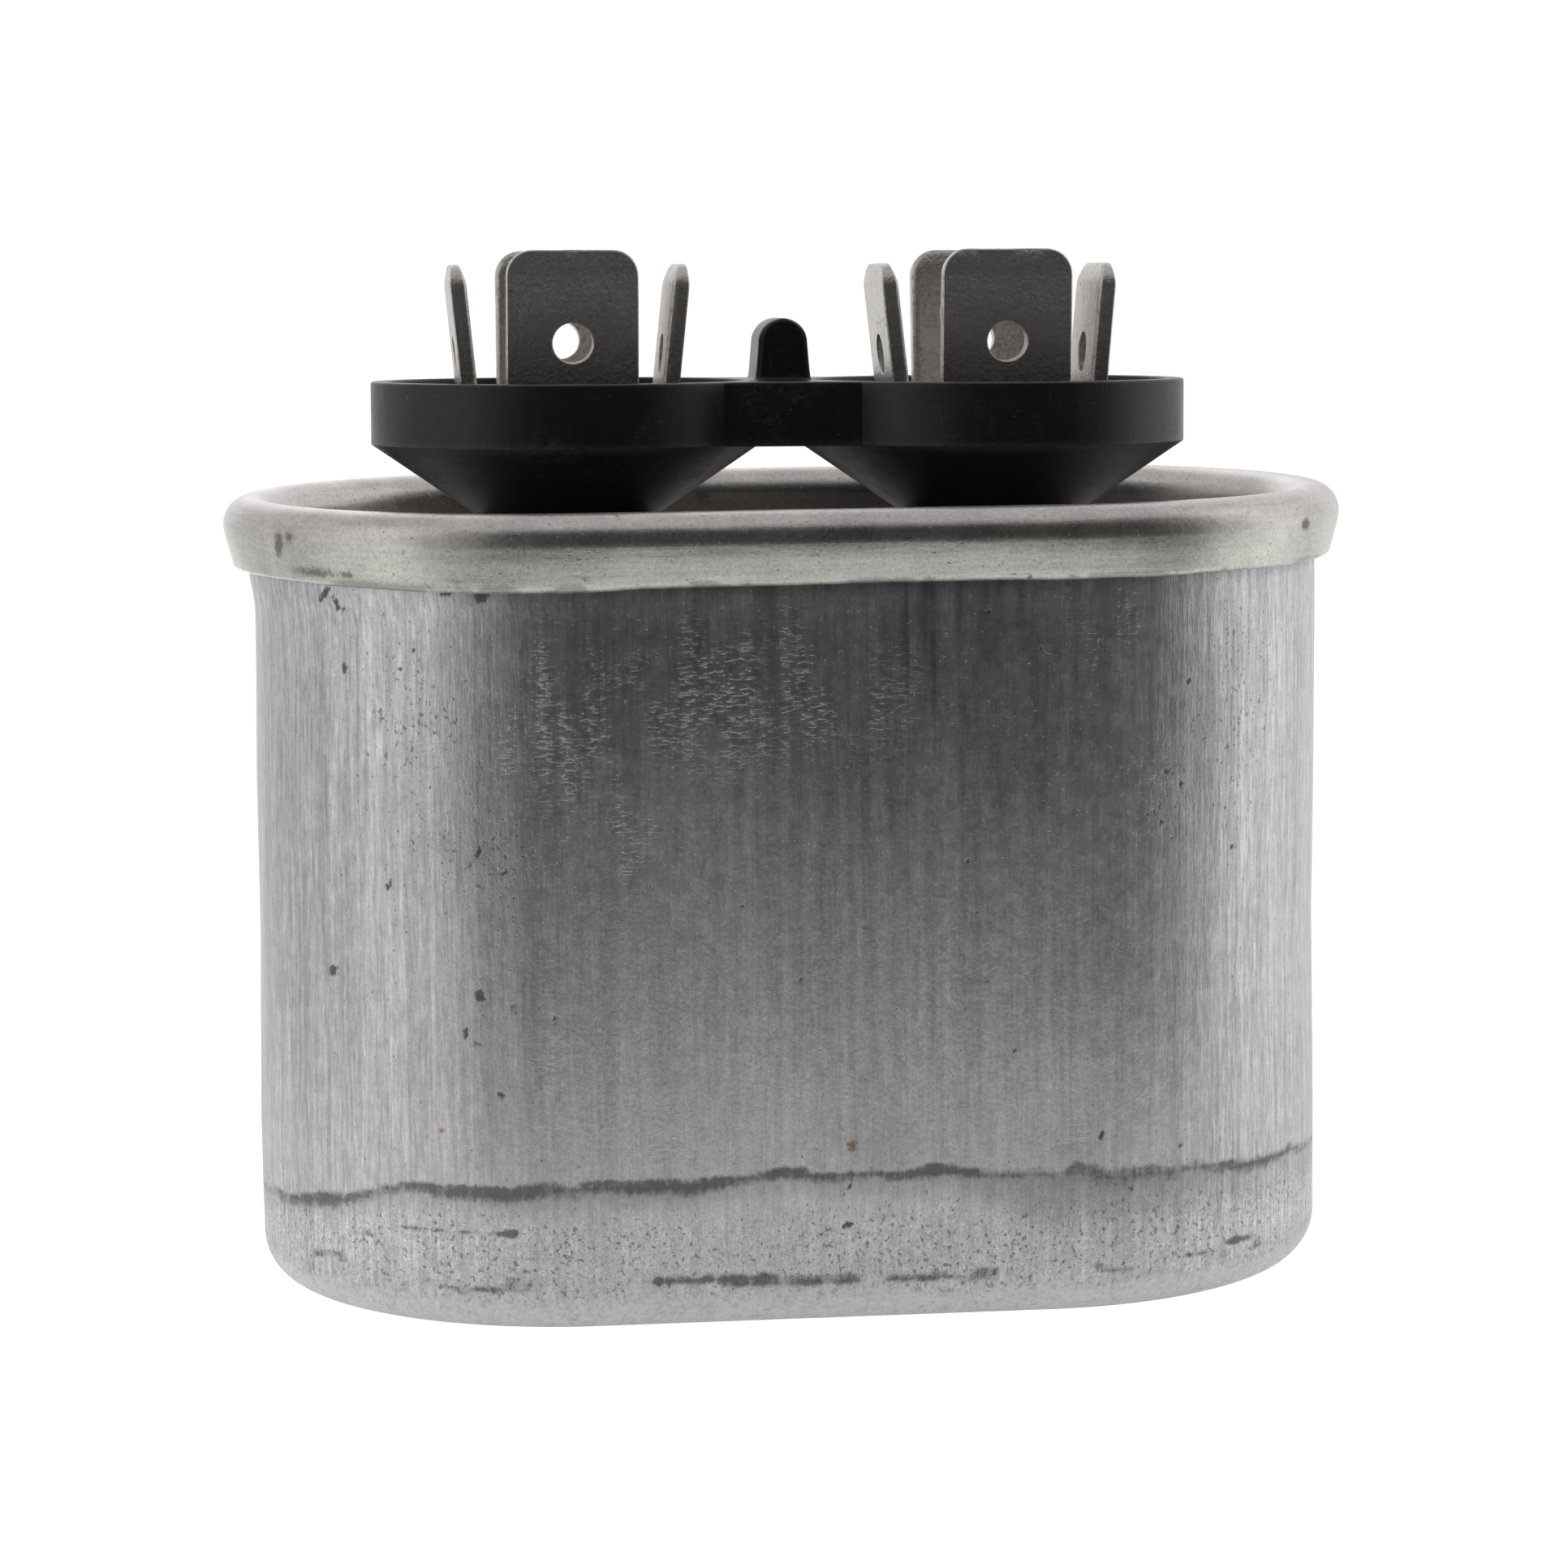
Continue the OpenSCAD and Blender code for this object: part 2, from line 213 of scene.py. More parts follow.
def inside(q, pts, segs):
    a, b = pts[segs[:, 0]], pts[segs[:, 1]]
    out = np.zeros(len(q), bool)
    for part in np.array_split(np.arange(len(q)), max(1, len(q) * len(segs) // 2000000 + 1)):
        x, y = q[part, 0][:, None], q[part, 1][:, None]
        cross = (a[None, :, 1] > y) != (b[None, :, 1] > y)
        dy = np.where(np.abs(b[:, 1] - a[:, 1]) < 1e-12, 1e-12, b[:, 1] - a[:, 1])
        xs = a[None, :, 0] + (y - a[None, :, 1]) * ((b[:, 0] - a[:, 0]) / dy)[None]
        out[part] = (cross & (x < xs)).sum(1) % 2 == 1
    return out


def loop_normals(p):
    """Outward mitre vectors of a closed counter-clockwise 2-D loop."""
    e = np.roll(p, -1, 0) - p
    e /= np.linalg.norm(e, axis=1)[:, None]
    n = np.stack([e[:, 1], -e[:, 0]], 1)
    nb = n + np.roll(n, 1, 0)
    return nb / np.maximum(0.3, (nb * n).sum(1))[:, None]


def with_z(p, z):
    return np.concatenate([p, np.full((len(p), 1), float(z))], 1)


def circle(cx, cy, r, n, a0=0.0):
    a = np.radians(a0) + np.linspace(0, 2 * np.pi, n, endpoint=False)
    return np.stack([cx + r * np.cos(a), cy + r * np.sin(a)], 1)


def grid(x0, x1, y0, y1, step):
    xs = np.arange(x0 + step / 2, x1, step)
    ys = np.arange(y0 + step / 2, y1, step)
    g = np.stack(np.meshgrid(xs, ys), -1).reshape(-1, 2)
    k = (np.arange(len(g)) // len(xs)) % 2
    g[:, 0] += (k - 0.5) * step * 0.4
    return g


# ---------------------------------------------------------------- the oval path: finer where the photograph looks
def oval_path():
    x, y, nx, ny = [], [], [], []

    def put(px, py, ax, ay):
        x.append(px), y.append(py), nx.append(ax), ny.append(ay)

    nf = 99
    for i in range(nf):
        put(-OB_L + 2 * OB_L * i / nf, -OB_R, 0, -1)
    for a in np.concatenate([np.linspace(-90, 0, 110, endpoint=False), np.linspace(0, 90, 60, endpoint=False)]):
        c, s = math.cos(math.radians(a)), math.sin(math.radians(a))
        put(OB_L + OB_R * c, OB_R * s, c, s)
    nb = 48
    for i in range(nb):
        put(OB_L - 2 * OB_L * i / nb, OB_R, 0, 1)
    for a in np.concatenate([np.linspace(90, 180, 60, endpoint=False), np.linspace(180, 270, 110, endpoint=False)]):
        c, s = math.cos(math.radians(a)), math.sin(math.radians(a))
        put(-OB_L + OB_R * c, OB_R * s, c, s)
    return np.array(x), np.array(y), np.array(nx), np.array(ny)


PX, PY, PNX, PNY = oval_path()
NP = len(PX)
_seg = np.hypot(np.roll(PX, -1) - PX, np.roll(PY, -1) - PY)
PS = np.concatenate([[0], np.cumsum(_seg)[:-1]])   # length along the wall from the front left of the straight part
PL = _seg.sum()
FRONT = PY < 0


def swept(build, profile):
    """profile is a list of (offset, z), each a number or an array along the path; returns the ids of each loop."""
    loops = []
    for off, z in profile:
        off = np.broadcast_to(np.asarray(off, float), (NP,))
        z = np.broadcast_to(np.asarray(z, float), (NP,))
        loops.append(build.add(np.stack([PX + PNX * off, PY + PNY * off, z], 1)))
    for a, b in zip(loops[:-1], loops[1:]):
        build.strip(a, b)
    return loops


def arc(cx, cz, r, a0, a1, n):
    return [(cx + r * math.cos(math.radians(a)), cz + r * math.sin(math.radians(a))) for a in np.linspace(a0, a1, n)]


# circle-wrapped coordinates, so that noise along the wall has no seam
WX, WY = PX + PNX * 0, PY + PNY * 0
LEFT_END = sstep(-0.2, 0.9, -PNX)                   # 1 round the left end
RIGHT_END = sstep(-0.2, 0.9, PNX)
LEFT_FRONT = sstep(-0.35, 0.8, -PNX) * sstep(0.55, -0.2, PNY)


def wall_offset(z):
    """Small departures of the drawn wall from the oval: faint draw lines, a slow wave, a flare under the rim, a slight draw-in at the foot."""
    slow = (fbm(WX / 9.0 + 7, WY / 9.0 + 3, z / 14.0 + 2, 11, 2) - 0.5) * 0.09
    lines = (vnoise(WX / 0.55 + 40, WY / 0.55 + 40, z / 26.0 + 1, 21) - 0.5) * 0.012
    lines = lines + (vnoise(WX / 1.3 + 40, WY / 1.3 + 40, z / 40.0 + 4, 23) - 0.5) * 0.016
    flare = 0.20 * LEFT_FRONT * math.exp(-((z - 35.0) / 1.0) ** 2) if z < 35.4 else 0.0
    ends = LEFT_END * np.interp(z, [2.2, 5, 8, 13, 17.5, 25, 30, 33, 35, 36.6], [0.02, 0.05, 0.08, 0.0, -0.09, -0.11, -0.21, -0.22, -0.12, -0.10])
    ends = ends + RIGHT_END * np.interp(z, [2.2, 5, 8, 13, 17.5, 25, 31, 35, 36.6], [0.10, 0.13, 0.12, 0.04, -0.02, 0.07, 0.07, 0.05, 0.0])
    fade = float(sstep(2.2, 4.5, z) * sstep(36.6, 35.0, z))
    return (slow + lines) * fade + flare + ends


# ---------------------------------------------------------------- can
def make_can():
    b = Build()
    prof = []
    foot0 = LEFT_END * 0.02 + RIGHT_END * 0.10
    for a in np.linspace(-90, 0, 13)[:-1]:
        t = (a + 90) / 90.0
        off = -CORNER + CORNER * math.cos(math.radians(a))
        prof.append((off + foot0 * t * t, CORNER + CORNER * math.sin(math.radians(a))))
    zs = np.concatenate([np.arange(CORNER, 35.3, 0.3), [35.45, 35.8, 36.4, 36.8]])
    for z in zs:
        prof.append((wall_offset(z) if z < 35.4 else np.minimum(wall_offset(z), 0.1), z))
    prof += [(0.6, FLANGE_Z - CAN_WALL), (0.6, FLANGE_Z), (-CAN_WALL, FLANGE_Z), (-CAN_WALL, 30.0), (-CAN_WALL, 20.0),
             (-CAN_WALL, 10.0), (-CAN_WALL, CORNER + 0.05)]
    ri = CORNER - CAN_WALL
    for a in np.linspace(0, -90, 6):
        prof.append((-CORNER + ri * math.cos(math.radians(a)), CORNER + ri * math.sin(math.radians(a))))
    loops = swept(b, prof)
    b.f.append(tuple(int(i) for i in loops[0][::-1]))
    b.f.append(tuple(int(i) for i in loops[-1]))
    n_out = 12 + len(zs)
    o = b.make("can_shell", sharp=40)
    paint_can(o)
    return o


def paint_can(o):
    """Painted fields on the wall, in mm: marks, scuffs and stains where a handled can shows them, with painted floor
    reflections low down and painted shade under the lip.
    """
    mesh = o.data
    n = len(mesh.vertices)
    co = np.zeros(n * 3)
    mesh.vertices.foreach_get("co", co)
    co = co.reshape(-1, 3) / MM
    x, y, z = co[:, 0], co[:, 1], co[:, 2]
    front = sstep(1.0, -3.0, y)
    # streak coordinate: noise that hardly changes with height
    st = fbm(x / 0.8 + 20, y / 0.8 + 20, z / 30.0 + 3, 31, 2)
    st2 = fbm(x / 2.6 + 20, y / 2.6 + 20, z / 22.0 + 3, 37, 2)
    bl = fbm(x / 6.0 + 20, y / 6.0 + 20, z / 6.0 + 3, 41, 3)
    bl2 = fbm(x / 2.2 + 9, y / 2.2 + 9, z / 2.2 + 9, 47, 3)
    fine = fbm(x / 0.7 + 9, y / 0.7 + 9, z / 0.7 + 9, 53, 2)

    # scuff line round the can, as (x, z) knots on the front, and a wandering height elsewhere
    kx = np.array([-26.2, -23.4, -22.5, -19.9, -17.4, -14.1, -12.3, -8.8, -6.4, -3.9, -2.1, 0.0, 3.4, 4.8, 7.7, 10.9, 11.9, 13.3, 17.8, 19.9, 21.8, 23.5, 26.2])
    kz = np.array([4.9, 5.75, 5.95, 6.95, 6.9, 7.0, 7.15, 7.15, 7.2, 7.4, 7.65, 7.4, 7.35, 7.5, 7.25, 7.1, 7.5, 6.9, 6.9, 6.5, 6.4, 6.6, 6.0])
    kw = np.array([0.30, 0.42, 0.34, 0.32, 0.36, 0.44, 0.36, 0.34, 0.42, 0.26, 0.30, 0.26, 0.26, 0.34, 0.26, 0.30, 0.42, 0.6, 0.30, 0.34, 0.3, 0.26, 0.25])
    ka = np.array([0.5, 0.9, 0.7, 0.75, 0.85, 0.9, 0.7, 0.85, 0.9, 0.7, 0.9, 0.8, 0.75, 0.95, 0.7, 0.55, 0.7, 0.6, 0.6, 0.8, 0.85, 0.7, 0.5])
    lz = np.where(y < 0, np.interp(x, kx, kz), 6.2 + 1.6 * (bl - 0.5) + 0.05 * x)
    lz = lz + (fbm(x / 1.1, y / 1.1, 0.5, 61, 2) - 0.5) * 0.5
    lw = np.where(y < 0, np.interp(x, kx, kw), 0.34)
    la = np.where(y < 0, np.interp(x, kx, ka), 0.75 * sstep(0.3, 0.6, st2 + 0.15))
    above = z - lz
    line = 1.15 * la * np.where(above > 0, np.exp(-(above / (0.75 * lw)) ** 2), np.exp(-(above / (1.75 * lw)) ** 2))

    def run(x0, x1, z0, z1, w, amp, ragged=0.35, where=None):
        zc = z0 + (z1 - z0) * (x - x0) / (x1 - x0) + (fbm(x / 0.9, y / 0.9, z0, 67, 2) - 0.5) * 0.35
        e = sstep(x0 - 0.3, x0 + 0.2, x) * sstep(x1 + 0.3, x1 - 0.2, x)
        g = amp * e * np.exp(-((z - zc) / w) ** 2) * (1 - ragged + 2 * ragged * (fine - 0.25))
        return g * front

    second = run(-8.9, -8.0, 2.55, 2.55, 0.2, 0.7) + run(-8.2, -5.4, 2.5, 2.5, 0.3, 1.1) + run(-5.2, -3.1, 2.42, 2.35, 0.36, 1.15)
    second += run(-3.1, 1.6, 2.35, 2.2, 0.38, 1.05) + run(2.7, 5.0, 2.28, 2.24, 0.3, 1.15) + run(5.0, 8.1, 2.25, 2.05, 0.3, 0.85)
    second += run(6.8, 8.2, 2.5, 2.55, 0.12, 0.8) + run(-4.6, 1.0, 1.75, 1.65, 0.12, 0.45)
    second += run(-18.9, -17.0, 2.5, 2.0, 0.22, 0.85) + run(-16.9, -14.1, 2.1, 2.2, 0.26, 0.9) + run(-15.2, -13.9, 2.7, 2.55, 0.22, 1.0)
    second += run(-24.0, -22.4, 3.0, 3.0, 0.26, 0.95) + run(-22.2, -20.9, 4.4, 4.4, 0.24, 0.8) + run(-20.0, -17.8, 5.0, 4.85, 0.14, 0.9)
    second += run(-17.6, -14.7, 4.75, 4.95, 0.14, 0.95) + run(-15.4, -14.6, 4.9, 4.9, 0.24, 0.8) + run(-20.4, -19.0, 3.0, 2.9, 0.2, 0.7)
    second += run(17.0, 18.4, 2.45, 2.5, 0.2, 0.75) + run(18.4, 20.2, 2.6, 2.8, 0.15, 0.95) + run(20.0, 21.8, 2.9, 2.5, 0.24, 0.9) + run(20.6, 22.4, 2.2, 2.1, 0.12, 0.7)
    second += run(12.6, 16.4, 2.4, 1.8, 0.3, 0.85) + run(10.0, 17.5, 1.75, 1.5, 0.1, 0.65) + run(19.6, 24.8, 4.2, 4.0, 0.18, 0.75) + run(16.8, 19.2, 4.6, 4.4, 0.22, 0.7)
    back = (1 - front) * sstep(0.52, 0.66, bl2) * np.exp(-((z - 2.6 - 1.2 * (bl - 0.5)) / 0.7) ** 2) * 1.1

    scuff = line + second + back

    # single marks: x, z, radius across, radius up, strength, slant
    marks = [(-22.0, 31.2, .17, .36, 1, 0), (-16.1, 22.85, .16, .46, 1.1, .5), (-20.15, 21.15, .26, .34, .9, .5), (-14.9, 21.95, .3, .2, .9, 0), (-14.5, 20.7, .17, .28, .8, .2),
             (-18.85, 32.1, .2, .24, .8, 0), (-19.5, 31.3, .16, .16, .8, 0), (-17.15, 28.4, .17, .17, .9, .4), (-18.2, 26.9, .15, .15, .8, 0), (-22.8, 16.75, .32, .3, 1.1, 0),
             (-22.85, 34.6, .22, .5, 1.2, .6), (-22.3, 34.2, .16, .6, 1.1, -.4), (-22.0, 33.9, .2, .2, .9, 0), (-15.75, 34.8, .5, .34, 1.2, 0), (-17.3, 34.95, .5, .2, .9, 0), (-9.5, 35.05, .22, .22, .9, 0),
             (-16.15, 16.15, .34, .34, 1.15, 0), (-14.6, 15.6, .26, .4, .8, 0), (-12.7, 15.05, .24, .34, .85, .3), (-16.85, 14.4, .16, .36, 1.1, -.3), (-16.35, 13.8, .34, .2, 1.15, 0),
             (-15.25, 11.45, .3, .3, .85, 0), (-5.05, 33.95, .14, .14, .9, 0), (-4.65, 33.95, .18, .14, 1, 0), (-3.95, 20.2, .17, .15, 1, 0), (-8.1, 20.5, .1, .5, .8, 0),
             (6.7, 22.0, .15, .15, .9, 0), (17.5, 30.1, .2, .17, 1.1, 0), (21.7, 27.3, .16, .16, 1.1, 0), (16.05, 23.55, .18, .22, 1.05, -.3), (17.05, 25.2, .2, .26, 1.05, 0),
             (15.5, 25.85, .16, .34, .9, 0), (19.9, 21.9, .24, .24, 1, 0), (16.3, 25.9, .24, .3, .8, 0), (14.9, 25.2, .2, .3, .75, 0), (10.3, 31.8, .3, .24, .9, -.5), (9.2, 31.2, .2, .2, .7, 0),
             (7.7, 33.7, .24, .3, .85, 0), (10.9, 34.4, .5, .14, .8, 0), (12.1, 21.85, .15, .24, .9, 0), (12.4, 19.05, .13, .13, .9, 0), (0.9, 4.9, .3, .2, 1.1, 0), (5.6, 3.55, .34, .16, 1.05, -.3),
             (5.2, 3.8, .3, .14, .8, -.3), (0.93, 6.7, .15, .15, 1, 0), (-1.25, 16.65, .16, .2, .9, 0), (13.05, 8.75, .15, .32, 1.1, 0), (17.0, 7.95, .2, .17, 1.1, 0), (14.5, 6.1, .2, .2, .9, 0),
             (-3.2, 26.9, .16, .26, .8, 0), (-10.6, 9.9, .16, .16, .9, 0), (-17.0, 6.3, .15, .15, .8, 0), (-8.9, 11.6, .13, .16, .8, 0), (7.1, 33.0, .3, .16, .7, 0), (-13.2, 12.6, .13, .16, .8, 0),
             (-18.7, 12.2, .14, .18, .7, 0), (-20.7, 10.2, .13, .13, .8, 0), (3.4, 18.0, .13, .13, .8, 0), (7.2, 19.6, .13, .13, .8, 0), (-6.6, 18.1, .12, .12, .8, 0), (8.9, 13.0, .13, .13, .8, 0)]
    pit = np.zeros(n)
    for mx, mz, ax, az, amp, sl in marks:
        u, w = x - mx - sl * (z - mz), z - mz
        pit = np.maximum(pit, amp * np.exp(-((u / (ax * 0.86)) ** 2 + (w / (az * 0.86)) ** 2)) * (y < 0))
    rs = np.random.RandomState(5)
    back_marks = np.zeros(n)
    for _ in range(36):
        k = rs.randint(0, NP)
        if PY[k] < 1:
            continue
        mz, amp, r = rs.uniform(3, 34), rs.uniform(.7, 1.1), rs.uniform(.15, .3)
        d = ((x - PX[k]) ** 2 + (y - PY[k]) ** 2) / r ** 2 + ((z - mz) / (r * rs.uniform(.8, 1.6))) ** 2
        back_marks = np.maximum(back_marks, amp * np.exp(-d))
    pit = np.maximum(pit, back_marks)

    # bright flecks scraped across the draw lines: where they gather
    reg = np.exp(-(((x + 11.5) / 5.0) ** 2 + ((z - 29.5) / 4.6) ** 2) ** 1.5)
    reg = np.maximum(reg, np.exp(-(((x + 3.5) / 8.0) ** 2 + ((z - 30.3) / 3.6) ** 2) ** 1.5))
    reg = np.maximum(reg, 0.8 * np.exp(-(((x + 9.5) / 1.5) ** 2 + ((z - 24.5) / 3.2) ** 2)))
    reg = np.maximum(reg, 0.8 * np.exp(-(((x - 13.4) / 1.8) ** 2 + ((z - 32.8) / 2.0) ** 2)))
    reg = np.maximum(reg, 0.45 * np.exp(-(((x + 17.0) / 3.6) ** 2 + ((z - 27.5) / 5.0) ** 2)))
    reg = np.maximum(reg, 0.6 * np.exp(-(((x + 13.3) / 0.5) ** 2 + ((z - 13.5) / 5.0) ** 2)))
    reg = np.maximum(reg, 0.6 * np.exp(-(((x + 8.0) / 1.2) ** 2 + ((z - 8.8) / 1.0) ** 2)))
    reg = np.maximum(reg, 0.5 * np.exp(-(((x - 12.0) / 0.6) ** 2 + ((z - 8.0) / 1.6) ** 2)))
    fleck = reg * front * sstep(0.34, 0.6, fbm(x / 1.3 + 2, y / 1.3, z / 2.6, 71, 2))
    fleck = np.maximum(fleck, (1 - front) * 0.7 * sstep(0.55, 0.75, bl))

    # speckled patches of tiny dark pits
    sp = 0.8 * np.exp(-(((x - 16.2) / 2.0) ** 2 + ((z - 25.0) / 2.4) ** 2))
    sp = np.maximum(sp, 0.75 * np.exp(-(((x + 15.5) / 3.6) ** 2 + ((z - 23.0) / 4.2) ** 2)))
    sp = np.maximum(sp, 0.6 * np.exp(-(((x + 18.5) / 3.0) ** 2 + ((z - 29.0) / 4.0) ** 2)))
    sp = np.maximum(sp, 0.55 * np.exp(-(((x - 19.5) / 2.6) ** 2 + ((z - 29.0) / 6.0) ** 2)))
    sp = np.maximum(sp, 0.9 * sstep(6.8, 4.5, z) * (0.55 + 0.9 * (bl2 - 0.4)))
    speck = np.clip(np.where(front > 0.5, sp, 0.5 * sstep(0.45, 0.6, bl) + 0.6 * sstep(6.0, 3.5, z)), 0, 1)

    # tone: darker tarnish high in the middle of the front, streaked at its lower border, lighter below the line as a
    # painted reflection of the floor
    t_lo = 25.5 + 7.0 * (st - 0.5) + 4.0 * (st2 - 0.5)
    tarn = sstep(t_lo - 1.2, t_lo + 2.8, z) * sstep(15.5, 10.5, np.abs(x + 1.0)) * front
    tone = 1 - 0.20 * tarn
    # streaks hanging from the rim
    for sx, z0, w, amp in ((3.75, 30.6, .16, .5), (5.2, 28.9, .13, .42), (4.75, 32.3, .3, .4), (7.55, 31.6, .3, .35), (9.2, 32.0, .26, .3), (-6.0, 31.5, .2, .25), (6.4, 33.2, .25, .3), (-2.6, 33.2, .3, .25), (8.3, 33.0, .2, .25)):
        tone *= 1 - amp * np.exp(-((x - sx) / w) ** 2) * sstep(z0 - 1.2, z0 + 1.2, z) * (y < 0)
    # painted shade just under the lip, where the seam overhangs the wall
    tone *= 1 - 0.30 * sstep(34.5, 35.3, z + 0.5 * (fine - 0.5)) * sstep(-13.5, -9.0, x) * (y < 0)
    # below the line: darker just beneath it, then lighter, a painted reflection of the pale floor
    below = sstep(0.1, -0.3, above)
    dusk = np.where(y < 0, np.interp(x, [-26, -12, -9, -3, 1, 6, 8, 12, 16, 20, 26], [.05, .12, .2, .15, .12, .14, .26, .34, .3, .2, .1]), 0.15)
    depth = np.where(y < 0, np.interp(x, [-26, -12, -6, 2, 7, 10, 16, 26], [1.0, 1.2, 1.0, 1.0, 1.3, 2.4, 2.2, 1.4]), 1.3)
    tone *= 1 - dusk * below * np.exp(-(np.minimum(above, 0) / depth) ** 2)
    floor_reflection_lo = below * sstep(-depth * 0.7, -depth * 1.4, above)
    tone *= 1 + 0.20 * floor_reflection_lo * (0.7 + 0.6 * (bl2 - 0.5))
    # dusky patch above the line, in the middle and at the right
    tone *= 1 - 0.10 * np.exp(-(((x - 2.6) / 2.4) ** 2 + ((z - 8.7) / 1.3) ** 2)) * (y < 0)
    tone *= 1 - 0.10 * np.exp(-(((x - 11.5) / 2.0) ** 2 + ((z - 8.4) / 1.1) ** 2)) * (y < 0)
    tone *= 1 + 0.10 * (bl - 0.5) + 0.06 * (st2 - 0.5)
    dull_band_floor_glow = sstep(2.2, 1.3, z + 0.6 * (bl2 - 0.5))            # dull band round the bottom edge, painted pale: a painted reflection of the floor

    # warm stains: brownish streaks, two rust specks
    warm = 0.9 * np.exp(-(((x - 2.2) / 6.2) ** 2 + ((z - 27.2) / 3.6) ** 2)) * sstep(0.42, 0.66, st) * front
    warm = np.maximum(warm, 0.6 * np.exp(-(((x + 6.0) / 2.4) ** 2 + ((z - 28.0) / 2.6) ** 2)) * sstep(0.5, 0.7, st) * front)
    rust = np.zeros(n)
    for mx, mz, a_, b_, amp in ((1.15, 8.65, .34, .24, 1.0), (-17.95, 9.75, .14, .3, .8), (-17.95, 8.9, .14, .16, .7), (-5.6, 11.6, .12, .12, .8), (-2.6, 26.7, .16, .16, .7), (7.6, 16.3, .12, .12, .6)):
        rust = np.maximum(rust, amp * np.exp(-(((x - mx) / a_) ** 2 + ((z - mz) / b_) ** 2)) * (y < 0))

    streak = np.clip(0.25 + 0.75 * sstep(14.0, 21.0, np.abs(x)) + 0.25 * sstep(24, 30, z) + 0.5 * np.exp(-((x - 19.5) / 2.5) ** 2), 0, 1.3)
    streak = np.where(y > 0, 0.7 + 0.5 * (bl - 0.5), streak)
    for name, v in (("streak", streak), ("tone", tone), ("scuff", scuff), ("pit", pit), ("fleck", fleck), ("speck", speck), ("warm", warm), ("rust", rust), ("dull_band_floor_glow", dull_band_floor_glow)):
        a = mesh.attributes.new(name, "FLOAT", "POINT")
        a.data.foreach_set("value", np.asarray(v, np.float32))


# ---------------------------------------------------------------- cover with its rolled seam
def lip_drop():
    """How far the lip's lower edge wanders from its height: lower at the front left, slightly ragged."""
    front_s = np.interp(PX, [-27, -23, -20, -16, -12, -9, -6, 0, 8, 14, 20, 27], [.05, .00, -.12, -.22, -.20, -.10, -.02, .02, .02, .0, .02, .0])
    d = np.where(PY < 0, front_s, 0.0)
    ragged = (fbm(PX / 1.4, PY / 1.4, 1.0, 81, 3) - 0.5) * 0.12
    blend = sstep(0, 3, np.abs(PY))
    return d * blend + ragged


def make_cover():
    b = Build()
    crown = (SEAM_OVER - SEAM_R, SEAM_TOP - SEAM_R)
    lip_r = 0.32
    lip = (SEAM_OVER - 0.45 - lip_r, SEAM_LOW + lip_r)
    dx, dz = lip[0] - crown[0], lip[1] - crown[1]
    sn = math.degrees(math.atan2(dz, dx)) + math.degrees(math.acos((SEAM_R - lip_r) / math.hypot(dx, dz)))
    wi = SEAM_OVER - 2 * SEAM_R
    wob = (fbm(PX / 5.0, PY / 5.0, 3.0, 83, 2) - 0.5)
    drop = lip_drop()
    prof = []
    prof += [(wi - 0.45, FLOOR_Z)]
    prof += arc(wi - 0.4, FLOOR_Z + 0.4, 0.4, -90, 0, 6)
    prof += [(wi, z) for z in (36.0, 36.6)]
    outer = arc(crown[0], crown[1], SEAM_R, 180, sn, 40)
    prof += [(o, z) for o, z in outer]
    n_top = len(prof)
    for k, t in enumerate((0.2, 0.4, 0.6, 0.8)):
        o0, z0 = outer[-1]
        o1, z1 = lip[0] + lip_r * math.cos(math.radians(sn)), lip[1] + lip_r * math.sin(math.radians(sn))
        prof.append((o0 + (o1 - o0) * t, z0 + (z1 - z0) * t + drop * t))
    for o, z in arc(lip[0], lip[1], lip_r, sn, -90, 8):
        prof.append((o, z + drop))
    prof += [(0.30, SEAM_LOW + 0.02 + drop), (0.2, SEAM_LOW + 0.1 + drop), (0.2, SEAM_LOW + COVER_T + 0.05)]
    prof += [(lip[0] - 0.08, lip[1] + 0.12)]
    prof += arc(crown[0], crown[1], SEAM_R - COVER_T, sn, 180, 14)
    prof += [(wi + COVER_T, 36.4), (wi + COVER_T, FLOOR_Z + 0.1)]
    prof += arc(wi, FLOOR_Z, COVER_T, 0, -90, 5)
    prof += [(wi - 0.45, FLOOR_Z - COVER_T)]
    # the crown breathes by a few hundredths along its length
    out = []
    for i, (o, z) in enumerate(prof):
        if 9 <= i < n_top:
            ang = math.atan2(z - crown[1], o - crown[0])
            k = -0.02 + 0.02 * wob - 0.012 * fbm(PX / 1.6, PY / 1.6, i / 7.0, 85, 2)
            out.append((o + k * math.cos(ang), z + k * math.sin(ang)))
        else:
            out.append((o, z))
    loops = swept(b, out)
    holes = []
    for s in (-1, 1):
        top = to_head([[s * CUP_X, 0, FLOOR_Z]])[0]
        low = to_head([[s * CUP_X, 0, FLOOR_Z - COVER_T]])[0]
        ht = circle(top[0], top[1], 2.6, 72)
        hl = circle(low[0], low[1], 2.6, 72)
        it, il = b.add(with_z(ht, FLOOR_Z)), b.add(with_z(hl, FLOOR_Z - COVER_T))
        b.strip(it, il)
        holes.append((it, il, ht, hl))
    off0 = wi - 0.45
    ring = np.stack([PX + PNX * off0, PY + PNY * off0], 1)
    free = grid(-25, 25, -14, 14, 0.8)
    b.fill([loops[0], holes[0][0], holes[1][0]], [ring, holes[0][2], holes[1][2]], free,
           lambda q: with_z(q, 0) + np.stack([0 * q[:, 0], 0 * q[:, 0], FLOOR_Z + 0.10 * (fbm(q[:, 0] / 7, q[:, 1] / 7, 2.0, 87, 2) - 0.5) * sstep(0.0, 3.0, 13.0 - np.hypot(np.maximum(np.abs(q[:, 0]) - OB_L, 0), q[:, 1]))], 1))
    b.fill([loops[-1], holes[0][1], holes[1][1]], [ring, holes[0][3], holes[1][3]])
    o = b.make("cover_sheet", sharp=50)
    paint_cover(o)
    return o


